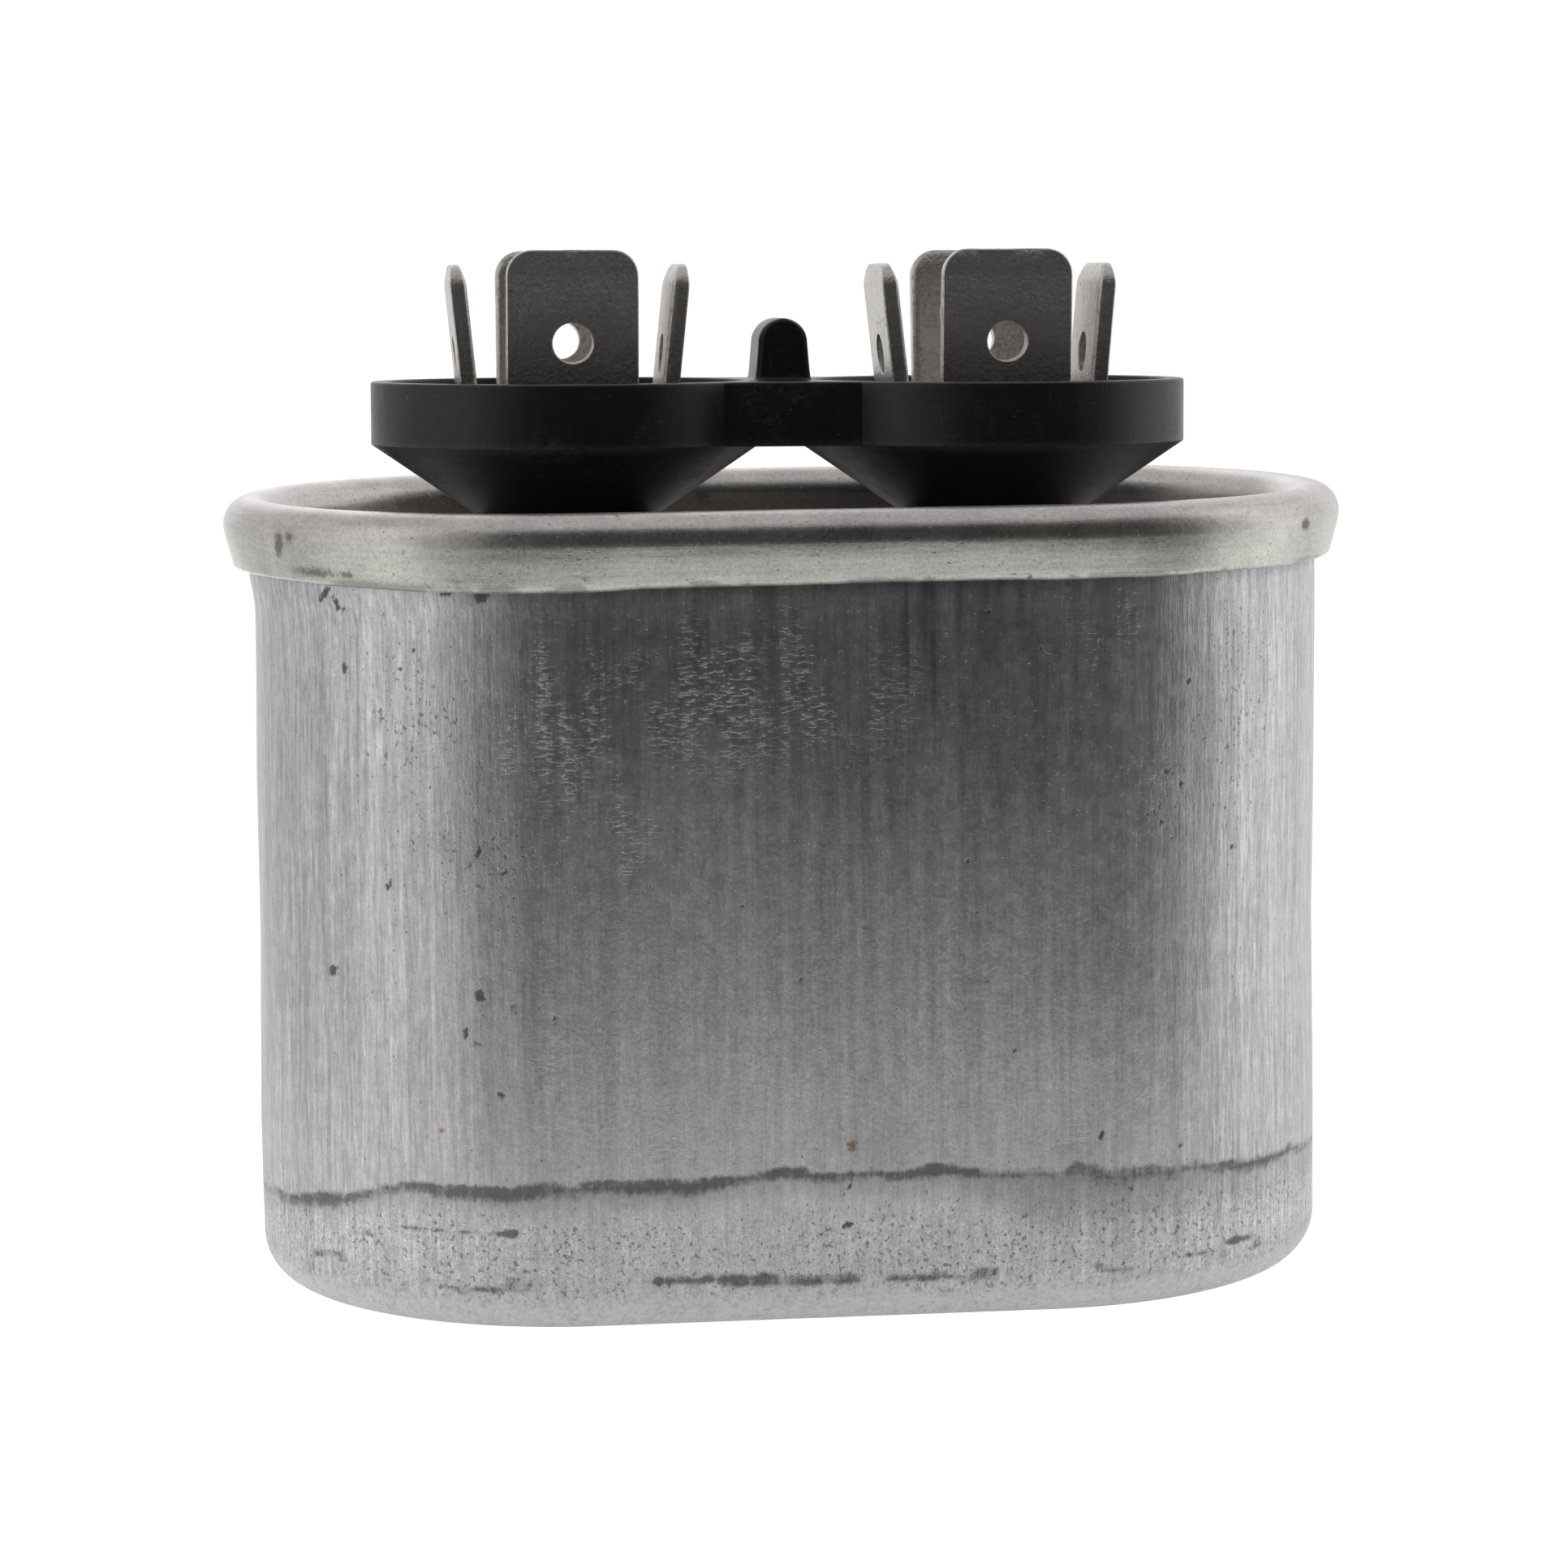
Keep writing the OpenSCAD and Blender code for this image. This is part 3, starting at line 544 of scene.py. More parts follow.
def paint_cover(o):
    mesh = o.data
    n = len(mesh.vertices)
    co = np.zeros(n * 3)
    mesh.vertices.foreach_get("co", co)
    co = co.reshape(-1, 3) / MM
    x, y, z = co[:, 0], co[:, 1], co[:, 2]
    fine = fbm(x / 0.6 + 9, y / 0.6 + 9, z / 0.6 + 9, 91, 2)
    bl = fbm(x / 3.0 + 9, y / 3.0 + 9, z / 3.0 + 9, 93, 3)
    dx = np.hypot(np.maximum(np.abs(x) - OB_L, 0), y)
    off = np.where(np.abs(x) > OB_L, dx, np.abs(y)) - OB_R
    # marks: smudges on the lip and bead; along the lower edge, patchy grime with painted shade under the lip
    smudge = np.zeros(n)
    for mx, mz, ax, az, amp in ((-23.3, 35.75, 1.3, .28, 1.0), (-21.8, 35.7, .5, .25, .9), (-24.9, 36.9, .22, .8, 1.1), (-24.4, 37.3, .25, .35, .9), (23.9, 37.1, .3, .35, 1.1),
                                (22.9, 36.7, .15, .2, .8), (18.0, 36.9, .12, .14, .7), (-11.0, 35.6, .3, .16, .7), (-17.0, 35.5, .6, .14, .8), (-14.4, 35.45, .35, .16, .8), (9.5, 35.3, .14, .16, 1.1), (8.9, 35.5, .5, .12, .7),
                                (-20.5, 36.6, .12, .12, .7), (14.9, 36.1, .14, .12, .7), (3.1, 36.3, .12, .12, .7), (-2.0, 35.9, .12, .12, .6), (-9.6, 38.5, .2, .12, .7)):
        smudge = np.maximum(smudge, amp * np.exp(-(((x - mx) / ax) ** 2 + ((z - mz) / az) ** 2)) * (y < 0) * (off > -0.3))
    low = sstep(35.75, 35.3, z) * (off > 0.1)
    grime_and_shade = low * sstep(0.42, 0.62, bl + 0.25 * (fine - 0.5))
    inner = sstep(-0.9, -1.3, off) * sstep(38.3, 36.0, z)      # recess wall and floor: rougher, and darker brown as painted shade
    # lower half and crest of the bead, for tints in mat_cover: painted reflections, greenish of the floor below,
    # pinkish above
    lower_half = sstep(37.5, 36.6, z) * (off > 0)
    top = sstep(37.7, 38.4, z)
    # a pair of dark stains on the far rim's inside, as old flux
    stain = np.zeros(n)
    for mx, mz, ax, az, amp in ((-2.6, 37.3, .5, .5, 1.0), (-3.0, 37.7, .2, .4, .9), (10.5, 36.9, .9, .5, .6), (-13, 36.7, 1.2, .5, .5)):
        stain = np.maximum(stain, amp * np.exp(-(((x - mx) / ax) ** 2 + ((z - mz) / az) ** 2)) * (y > 5) * (off < 0))
    for name, v in (("smudge", smudge), ("grime_and_shade", grime_and_shade), ("recess", inner), ("lower", lower_half), ("crest", top), ("stain", stain)):
        a = mesh.attributes.new(name, "FLOAT", "POINT")
        a.data.foreach_set("value", np.asarray(v, np.float32))


# ---------------------------------------------------------------- terminal block: one moulding
def make_block():
    b = Build()
    a0 = math.degrees(math.acos((3.3 - CUP_X) / CUP_R))
    na, nl = 150, 10
    ang = np.radians(np.linspace(-a0, a0, na))
    right = np.stack([CUP_X + CUP_R * np.cos(ang), CUP_R * np.sin(ang)], 1)
    left = -right
    yt = right[-1, 1]
    xs = np.linspace(3.3, -3.3, nl + 2)[1:-1]
    top_line = np.stack([xs, np.full(nl, yt)], 1)
    low_line = -top_line
    outline = np.concatenate([right, top_line, left, low_line])
    nrm = loop_normals(outline)
    n_out = len(outline)

    def ol(off, z):
        return b.add(with_z(outline + nrm * off, z)), outline + nrm * off

    low, low2 = ol(-0.05, CUP_LOW)
    ids = [low]
    ids.append(ol(0.0, CUP_LOW + 0.05)[0])
    for z in np.linspace(CUP_LOW + 0.5, CUP_TOP - 0.5, 6):
        ids.append(ol(0.0, z)[0])
    er = 0.13
    for t in np.radians([0, 22, 45, 68, 90]):
        i, p = ol(-er * (1 - math.cos(t)), CUP_TOP - er * (1 - math.sin(t)))
        ids.append(i)
    top_ids, top_uv = i, p
    for k in range(len(ids) - 1):
        b.strip(ids[k], ids[k + 1])
    # cups inside
    n_in = 150
    cups = []
    cr = CUP_R - CUP_WALL
    for s in (-1, 1):
        loops = []
        for t in np.radians([90, 60, 30, 0]):
            loops.append((cr + 0.11 * (1 - math.cos(t)), CUP_TOP - 0.11 * (1 - math.sin(t))))
        loops += [(cr, 43.2), (cr, 42.5), (cr, 41.9)]
        for t in np.radians([0, 30, 60, 90]):
            loops.append((cr - 0.2 * (1 - math.cos(t)), CUP_FLOOR + 0.2 * (1 - math.sin(t))))
        li = [b.add(with_z(circle(s * CUP_X, 0, r, n_in), z)) for r, z in loops]
        for k in range(len(li) - 1):
            b.strip(li[k], li[k + 1])
        cups.append((li[0], circle(s * CUP_X, 0, loops[0][0], n_in), li[-1], circle(s * CUP_X, 0, loops[-1][0], n_in)))

    # barrier post: plan is a rounded oblong; it narrows upwards and its top is rounded across
    def oblong(hx, hy, rc, z):
        rc = min(rc, hx * 0.98, hy * 0.98)
        pts = []
        for cx, cy, st in ((hx - rc, hy - rc, 0), (-(hx - rc), hy - rc, 90), (-(hx - rc), -(hy - rc), 180), (hx - rc, -(hy - rc), 270)):
            for a in np.radians(st + np.linspace(0, 90, 7)):
                pts.append((cx + rc * math.cos(a), cy + rc * math.sin(a)))
        pts = np.array(pts)
        # even points along each straight side
        out = []
        for q in range(4):
            seg = pts[q * 7:(q + 1) * 7]
            nxt = pts[((q + 1) * 7) % 28]
            out += [tuple(p) for p in seg]
            m_ = 8 if q in (1, 3) else 8
            for t in np.linspace(0, 1, m_ + 2)[1:-1]:
                out.append(tuple(seg[-1] + (nxt - seg[-1]) * t))
        return with_z(np.array(out), z)

    hy, w0, w1, ctr = 2.05, 1.345, 1.2, 45.7
    levels = []
    fr = 0.2
    for t in np.radians([0, 18, 36, 54, 72, 90]):
        levels.append((w0 + fr * (1 - math.sin(t)), hy + fr * (1 - math.sin(t)), 0.32 + fr * (1 - math.sin(t)), CUP_TOP + fr * (1 - math.cos(t))))
    for z in np.linspace(CUP_TOP + 0.55, ctr, 8):
        k = (z - CUP_TOP) / (ctr - CUP_TOP)
        levels.append((w0 + (w1 - w0) * k, hy - 0.03 * k, 0.32, z))
    for a in np.linspace(6, 84, 16):
        c, s_ = math.cos(math.radians(a)), math.sin(math.radians(a))
        ins = 0.22 * (1 - math.sqrt(max(0.0, 1 - s_ ** 8)))
        levels.append((max(0.05, w1 * c), hy - 0.03 - ins, 0.32, ctr + w1 * s_))
    post = [b.add(oblong(*lv)) for lv in levels]
    post_uv = oblong(*levels[0])[:, :2]
    for k in range(len(post) - 1):
        b.strip(post[k], post[k + 1])
    last = oblong(*levels[-1])[:, :2]
    b.fill([post[-1]], [last])

    free = grid(-21, 21, -10, 10, 0.5)
    b.fill([top_ids, cups[0][0], cups[1][0], post[0]], [top_uv, cups[0][1], cups[1][1], post_uv], free, lambda q: with_z(q, CUP_TOP))

    # plate pockets, bores, feet and cones
    for k, s in ((0, -1), (1, 1)):
        turn = TURN_RIGHT if s > 0 else 0.0
        hs, hf, hw = HALF_SIDE + 0.45, HALF_FB + 0.45, (BLADE_W + 0.9) / 2
        q = []
        corners = [(hs, -hw), (hs, hw), (hw, hw), (hw, hf), (-hw, hf), (-hw, hw), (-hs, hw), (-hs, -hw), (-hw, -hw), (-hw, -hf), (hw, -hf), (hw, -hw)]
        for i in range(12):
            p0, p1 = np.array(corners[i]), np.array(corners[(i + 1) % 12])
            m_ = max(2, int(np.linalg.norm(p1 - p0) / 0.6))
            for t in range(m_):
                q.append(p0 + (p1 - p0) * t / m_)
        q = np.array(q)
        ca, sa = math.cos(math.radians(turn)), math.sin(math.radians(turn))
        q = q @ np.array([[ca, sa], [-sa, ca]]) + [s * CUP_X, 0]
        pt, pl = b.add(with_z(q, CUP_FLOOR)), b.add(with_z(q, PLATE_Z))
        b.strip(pt, pl)
        fr_ = grid(s * CUP_X - 9, s * CUP_X + 9, -9, 9, 0.9)
        b.fill([cups[k][2], pt], [cups[k][3], q], fr_, lambda v: with_z(v, CUP_FLOOR))
        # cone circle: the outline's own points outside, new ones under the bridge
        ring_out = np.arange(na) if s > 0 else np.arange(na + nl, 2 * na + nl)
        arc_ids = low[ring_out]
        arc_uv = low2[ring_out]
        a1 = np.arctan2(arc_uv[-1, 1], arc_uv[-1, 0] - s * CUP_X)
        a2 = np.arctan2(arc_uv[0, 1], arc_uv[0, 0] - s * CUP_X)
        if a2 < a1:
            a2 += 2 * np.pi
        n_un = 44
        aa = np.linspace(a1, a2, n_un + 2)[1:-1]
        rr = np.linalg.norm(arc_uv[-1] - [s * CUP_X, 0])
        un = np.stack([s * CUP_X + rr * np.cos(aa), rr * np.sin(aa)], 1)
        un_ids = b.add(with_z(un, CUP_LOW))
        ring_ids = np.concatenate([arc_ids, un_ids])
        ring_uv = np.concatenate([arc_uv, un])
        d = ring_uv - [s * CUP_X, 0]
        r0 = np.linalg.norm(d, axis=1)
        prev = ring_ids
        for t in np.linspace(0, 1, 8)[1:]:
            zz = CUP_LOW - (CUP_LOW - FOOT_Z) * t
            r_ = r0 + (FOOT_R - r0) * t
            cur = b.add(with_z(d / r0[:, None] * r_[:, None] + [s * CUP_X, 0], zz))
            b.strip(prev, cur)
            prev = cur
        for r_, zz in ((FOOT_R, 36.8), (FOOT_R, FOOT_LOW + 0.08), (FOOT_R - 0.08, FOOT_LOW), (BORE_R, FOOT_LOW), (BORE_R, 38.0), (BORE_R, PLATE_Z)):
            cur = b.add(with_z(d / r0[:, None] * r_ + [s * CUP_X, 0], zz))
            b.strip(prev, cur)
            prev = cur
        bore_uv = d / r0[:, None] * BORE_R + [s * CUP_X, 0]
        b.fill([pl, prev], [q, bore_uv])
        cups[k] += (un_ids, un)
    # underside of the bridge
    R1, L1 = np.arange(na), np.arange(na + nl, 2 * na + nl)
    topl, lowl = np.arange(na, na + nl), np.arange(2 * na + nl, 2 * na + 2 * nl)
    loop = np.concatenate([[low[R1[-1]]], low[topl], [low[L1[0]]], cups[0][4][::-1], [low[L1[-1]]], low[lowl], [low[R1[0]]], cups[1][4][::-1]])
    uv = np.concatenate([low2[R1[-1]][None], low2[topl], low2[L1[0]][None], cups[0][5][::-1], low2[L1[-1]][None], low2[lowl], low2[R1[0]][None], cups[1][5][::-1]])
    b.fill([loop], [uv])
    v = np.concatenate(b.v)
    cx = np.where(v[:, 0] > 0, CUP_X, -CUP_X)
    r = np.hypot(v[:, 0] - cx, v[:, 1])
    rim = np.exp(-((v[:, 2] - CUP_TOP) / 0.10) ** 2) * np.exp(-((r - CUP_R + 0.1) / 0.35) ** 2)
    low_e = 0.8 * np.exp(-((v[:, 2] - CUP_LOW) / 0.12) ** 2) * (r > CUP_R - 0.4)
    o = b.make("block_moulding", HEAD, sharp=32)
    a = o.data.attributes.new("edge", "FLOAT", "POINT")
    a.data.foreach_set("value", np.maximum(rim, low_e).astype(np.float32))
    return o


# ---------------------------------------------------------------- terminals: a stamped blank, bent up
def make_terminal(name, s, lean, turn, burr=None, seed=1):
    b = Build()
    w, h = BLADE_W / 2, BLADE_T / 2
    arms = []
    for k in range(4):
        half, tip = (HALF_SIDE, TIP_SIDE) if k % 2 == 0 else (HALF_FB, TIP_FB)
        le = math.radians(lean[k])
        zc = PLATE_Z + h + BEND_R
        z0 = zc - BEND_R * math.sin(le)
        cx = half - (CUP_TOP - z0) * math.tan(le) - BEND_R * math.cos(le)
        al = BEND_R * (math.pi / 2 - le)
        ln = (tip - z0) / math.cos(le)
        arms.append((le, zc, cx, al, ln, cx + al + ln))

    def side_points(S, cx, al):
        u = list(np.arange(w + 0.35, cx - 0.02, 0.3)) + list(np.linspace(cx, cx + al, 10)) + list(np.arange(cx + al + 0.3, S - TIP_R - 0.1, 0.3))
        return np.array(u)

    outline = []
    for k in range(4):
        le, zc, cx, al, ln, S = arms[k]
        u = side_points(S, cx, al)
        pts = [(p, -w) for p in u]
        for a in np.linspace(-90, 0, 10):
            pts.append((S - TIP_R + TIP_R * math.cos(math.radians(a)), -w + TIP_R + TIP_R * math.sin(math.radians(a))))
        for q in np.linspace(-w + TIP_R, w - TIP_R, 14)[1:-1]:
            pts.append((S, q))
        for a in np.linspace(0, 90, 10):
            pts.append((S - TIP_R + TIP_R * math.cos(math.radians(a)), w - TIP_R + TIP_R * math.sin(math.radians(a))))
        pts += [(p, w) for p in u[::-1]]
        # rounded inner corner to the next arm
        for a in np.linspace(-90, -180, 5)[1:-1]:
            pts.append((w + 0.3 + 0.3 * math.cos(math.radians(a)) * 1.0, w + 0.3 + 0.3 * math.sin(math.radians(a))))
        c, s_ = [(1, 0), (0, 1), (-1, 0), (0, -1)][k]
        for p, q in pts:
            outline.append((p * c - q * s_, p * s_ + q * c))
    outline = np.array(outline)
    rs = np.random.RandomState(seed)
    nrm = loop_normals(outline)
    # the blanking die leaves the edge very slightly uneven
    wob = (fbm(outline[:, 0] / 0.9 + 30, outline[:, 1] / 0.9 + 30, seed, 101, 2) - 0.5) * 0.025
    if burr is not None:
        k, ub, side, amp = burr
        c, s_ = [(1, 0), (0, 1), (-1, 0), (0, -1)][k]
        p = outline[:, 0] * c + outline[:, 1] * s_
        q = -outline[:, 0] * s_ + outline[:, 1] * c
        S = arms[k][5]
        near = np.exp(-((p - (S - ub)) / 0.22) ** 2) * (np.sign(q) == side) * (np.abs(q) > w - 0.05)
        wob = wob + amp * near
    outer = outline + nrm * (wob[:, None] - 0.012)
    inner, back = outline - nrm * 0.25, outline - nrm * 0.07

    def place(p2, hh):
        """Blank point and height over the mid plane to head coordinates."""
        p2 = np.asarray(p2, float)
        hh = np.broadcast_to(np.asarray(hh, float), (len(p2),)).copy()
        out = np.zeros((len(p2), 3))
        out[:, :2] = p2
        out[:, 2] = PLATE_Z + h + hh
        for k in range(4):
            le, zc, cx, al, ln, S = arms[k]
            c, s_ = [(1, 0), (0, 1), (-1, 0), (0, -1)][k]
            p = p2[:, 0] * c + p2[:, 1] * s_
            q = -p2[:, 0] * s_ + p2[:, 1] * c
            sel = (p > w * 0.999) & (np.abs(q) <= w * 1.02)
            if not sel.any():
                continue
            ps, qs, hs = p[sel], q[sel], hh[sel]
            thin = 1 - 0.5 * np.clip((ps - (S - 0.95)) / 0.95, 0, 1)
            hs = hs * thin
            t = np.clip((ps - cx) / BEND_R, 0, math.pi / 2 - le)      # turned angle
            phi = -math.pi / 2 + t
            X = cx + BEND_R * np.cos(phi)
            Z = zc + BEND_R * np.sin(phi)
            nx, nz = -np.cos(phi), -np.sin(phi)                         # towards the inside of the bend
            X, Z = X + hs * nx, Z + hs * nz
            flat = ps < cx
            X = np.where(flat, ps, X)
            Z = np.where(flat, PLATE_Z + h + hs, Z)
            st = np.maximum(ps - cx - al, 0)
            X = X + st * math.sin(le)
            Z = Z + st * math.cos(le)
            # each blade has its own slight bow
            bow = 0.018 * math.sin(seed * 1.7 + k * 2.1) * (st / 8.0) ** 2 * 8
            X = X + np.where(st > 0, bow * 0.25, 0)
            o = np.zeros((sel.sum(), 3))
            o[:, 0] = X * c - qs * s_
            o[:, 1] = X * s_ + qs * c
            o[:, 2] = Z
            out[sel] = o
        a = math.radians(turn)
        rot = np.array([[math.cos(a), math.sin(a)], [-math.sin(a), math.cos(a)]])
        out[:, :2] = out[:, :2] @ rot
        out[:, 0] += s * CUP_X
        return out

    sides = []
    for p2, hh in ((inner, h), (outline - nrm * 0.12, h - 0.05), (outline - nrm * 0.04, h - 0.12), (outer, h - 0.22), (outer, 0.0), (outer, -(h - 0.06)), (back, -h)):
        sides.append(b.add(place(p2, hh)))
    for i in range(6):
        b.strip(sides[i], sides[i + 1])
    loops_t, loops_b, uvs, uvs_b = [sides[0]], [sides[-1]], [inner], [back]
    for k in range(4):
        S = arms[k][5]
        c, s_ = [(1, 0), (0, 1), (-1, 0), (0, -1)][k]
        ctr = S - DETENT_DROP
        ring = circle(0, 0, 1.0, 44)
        li = []
        for r, hh in ((DETENT_R + 0.05, h), (DETENT_R, h - 0.05), (DETENT_R, 0), (DETENT_R, -(h - 0.05)), (DETENT_R + 0.05, -h)):
            p = np.stack([ctr + ring[:, 0] * r, ring[:, 1] * r], 1)
            p2 = np.stack([p[:, 0] * c - p[:, 1] * s_, p[:, 0] * s_ + p[:, 1] * c], 1)
            li.append((b.add(place(p2, hh)), p2))
        for i in range(4):
            b.strip(li[i][0], li[i + 1][0])
        loops_t.append(li[0][0]), loops_b.append(li[-1][0]), uvs.append(li[0][1]), uvs_b.append(li[0][1])
    ring = circle(0, 0, BORE_R, 48)
    bt, bb = b.add(place(ring, h)), b.add(place(ring, -h))
    b.strip(bt, bb)
    loops_t.append(bt), loops_b.append(bb), uvs.append(ring), uvs_b.append(ring)
    free = []
    for k in range(4):
        le, zc, cx, al, ln, S = arms[k]
        c, s_ = [(1, 0), (0, 1), (-1, 0), (0, -1)][k]
        us = list(np.arange(w, cx, 0.3)) + list(np.linspace(cx, cx + al, 10)) + list(np.arange(cx + al + 0.3, S - 0.98, 0.34)) + [S - 0.95, S - 0.7, S - 0.45]
        for u in us:
            for q in np.linspace(-w + 0.45, w - 0.45, 17):
                free.append((u * c - q * s_, u * s_ + q * c))
    free = np.array(free + [tuple(p) for p in grid(-w, w, -w, w, 0.5)])
    b.fill(loops_t, uvs, free, lambda q: place(q, h))
    b.fill(loops_b, uvs_b, free, lambda q: place(q, -h))
    o = b.make(name, HEAD, sharp=24)
    return o


# ---------------------------------------------------------------- rivets
def make_rivet(name, s):
    b = Build()
    z1 = PLATE_Z + BLADE_T
    prof = [(0.0, 42.50), (0.55, 42.50), (0.78, 42.56), (0.95, 42.66), (1.15, 42.69), (1.7, 42.70), (2.05, 42.66), (2.25, 42.58), (2.50, 42.45), (2.66, 42.34), (2.74, 42.22), (2.75, 42.05), (2.75, z1 + 0.06), (2.69, z1),
            (1.5, z1), (1.5, 38.0), (1.5, 33.0), (2.3, 33.0), (2.3, 32.62), (2.18, 32.5), (0.8, 32.5), (0.8, 30.76), (0.74, 30.7), (0.0, 30.7)]
    n = 72
    prev, tip_top = None, None
    cx = s * CUP_X
    for i, (r, z) in enumerate(prof):
        if r == 0:
            cur = b.add([[cx, 0, z]])
            if prev is not None:
                for k in range(n):
                    b.f.append((int(prev[k]), int(prev[(k + 1) % n]), int(cur[0])))
            tip_top = cur if i == 0 else tip_top
            prev = None if i == 0 else prev
            first = i == 0
            continue
        wob = 1 + (0.01 * np.sin(np.arange(n) / n * 2 * np.pi * 3 + s) if 0.9 < r < 2.76 and z > 41.8 else 0)
        c = circle(0, 0, 1, n) * (r * np.broadcast_to(wob, (n,)))[:, None]
        cur = b.add(with_z(c + [cx, 0], z))
        if prev is None:
            for k in range(n):
                b.f.append((int(tip_top[0]), int(cur[k]), int(cur[(k + 1) % n])))
        else:
            b.strip(prev, cur)
        prev = cur
    return b.make(name, HEAD, sharp=40)


# ---------------------------------------------------------------- materials
class Mat:
    def __init__(self, name):
        self.mat = bpy.data.materials.new(name)
        self.mat.use_nodes = True
        self.t = self.mat.node_tree
        self.t.nodes.clear()
        self.out = self.node("ShaderNodeOutputMaterial")
        self.b = self.node("ShaderNodeBsdfPrincipled")
        self.t.links.new(self.b.outputs[0], self.out.inputs["Surface"])
        tc = self.node("ShaderNodeTexCoord")
        self.obj = self.vm("SCALE", tc.outputs["Object"], scale=1000.0)      # millimetres
        self.xyz = None

    def node(self, kind):
        return self.t.nodes.new(kind)

    def put(self, sock, v):
        if isinstance(v, bpy.types.NodeSocket):
            self.t.links.new(v, sock)
        elif isinstance(v, (tuple, list)) and len(v) == 3 and sock.type == "RGBA":
            sock.default_value = (*v, 1.0)
        else:
            sock.default_value = v

    def m(self, op, a, b=None, c=None, clamp=False):
        n = self.node("ShaderNodeMath")
        n.operation, n.use_clamp = op, clamp
        self.put(n.inputs[0], a)
        if b is not None:
            self.put(n.inputs[1], b)
        if c is not None:
            self.put(n.inputs[2], c)
        return n.outputs[0]

    def vm(self, op, a, b=None, scale=None):
        n = self.node("ShaderNodeVectorMath")
        n.operation = op
        self.put(n.inputs[0], a)
        if b is not None:
            self.put(n.inputs[1], b)
        if scale is not None:
            self.put(n.inputs["Scale"], scale)
        return n.outputs["Value"] if op in ("LENGTH", "DISTANCE", "DOT_PRODUCT") else n.outputs["Vector"]

    def sep(self):
        if self.xyz is None:
            n = self.node("ShaderNodeSeparateXYZ")
            self.put(n.inputs[0], self.obj)
            self.xyz = n.outputs
        return self.xyz

    def vec(self, sx=1.0, sy=1.0, sz=1.0, off=(0, 0, 0)):
        v = self.vm("MULTIPLY", self.obj, (sx, sy, sz))
        return self.vm("ADD", v, off) if any(off) else v

    def noise(self, v, scale=1.0, detail=2.0, rough=0.5, dist=0.0):
        n = self.node("ShaderNodeTexNoise")
        self.put(n.inputs["Vector"], v)
        n.inputs["Scale"].default_value = scale
        n.inputs["Detail"].default_value = detail
        n.inputs["Roughness"].default_value = rough
        n.inputs["Distortion"].default_value = dist
        return n.outputs["Fac"]

    def voronoi(self, v, scale=1.0, feature="F1"):
        n = self.node("ShaderNodeTexVoronoi")
        n.feature = feature
        self.put(n.inputs["Vector"], v)
        n.inputs["Scale"].default_value = scale
        return n.outputs["Distance"]

    def attr(self, name):
        n = self.node("ShaderNodeAttribute")
        n.attribute_type, n.attribute_name = "GEOMETRY", name
        return n.outputs["Fac"]

    def map(self, v, a, b, c=0.0, d=1.0, smooth=True):
        n = self.node("ShaderNodeMapRange")
        n.interpolation_type = "SMOOTHSTEP" if smooth else "LINEAR"
        n.clamp = True
        self.put(n.inputs["Value"], v)
        n.inputs["From Min"].default_value, n.inputs["From Max"].default_value = a, b
        n.inputs["To Min"].default_value, n.inputs["To Max"].default_value = c, d
        return n.outputs["Result"]

    def mix(self, fac, a, b, kind="MIX"):
        n = self.node("ShaderNodeMix")
        n.data_type, n.blend_type, n.clamp_factor = "RGBA", kind, True
        self.put(n.inputs[0], fac)
        self.put(n.inputs[6], a)
        self.put(n.inputs[7], b)
        return n.outputs[2]

    def scale_col(self, col, f):
        return self.vm("SCALE", col, scale=f)

    def bump(self, height, distance, strength=1.0, normal=None):
        n = self.node("ShaderNodeBump")
        n.inputs["Strength"].default_value = strength
        n.inputs["Distance"].default_value = distance * MM
        self.put(n.inputs["Height"], height)
        if normal is not None:
            self.put(n.inputs["Normal"], normal)
        return n.outputs["Normal"]

    def set(self, **kw):
        for k, v in kw.items():
            self.put(self.b.inputs[k.replace("_", " ")], v)
        return self.mat


def around(M, v, amount):
    """1 + amount * (v - 0.5)"""
    return M.m("MULTIPLY_ADD", M.m("SUBTRACT", v, 0.5), amount, 1.0)


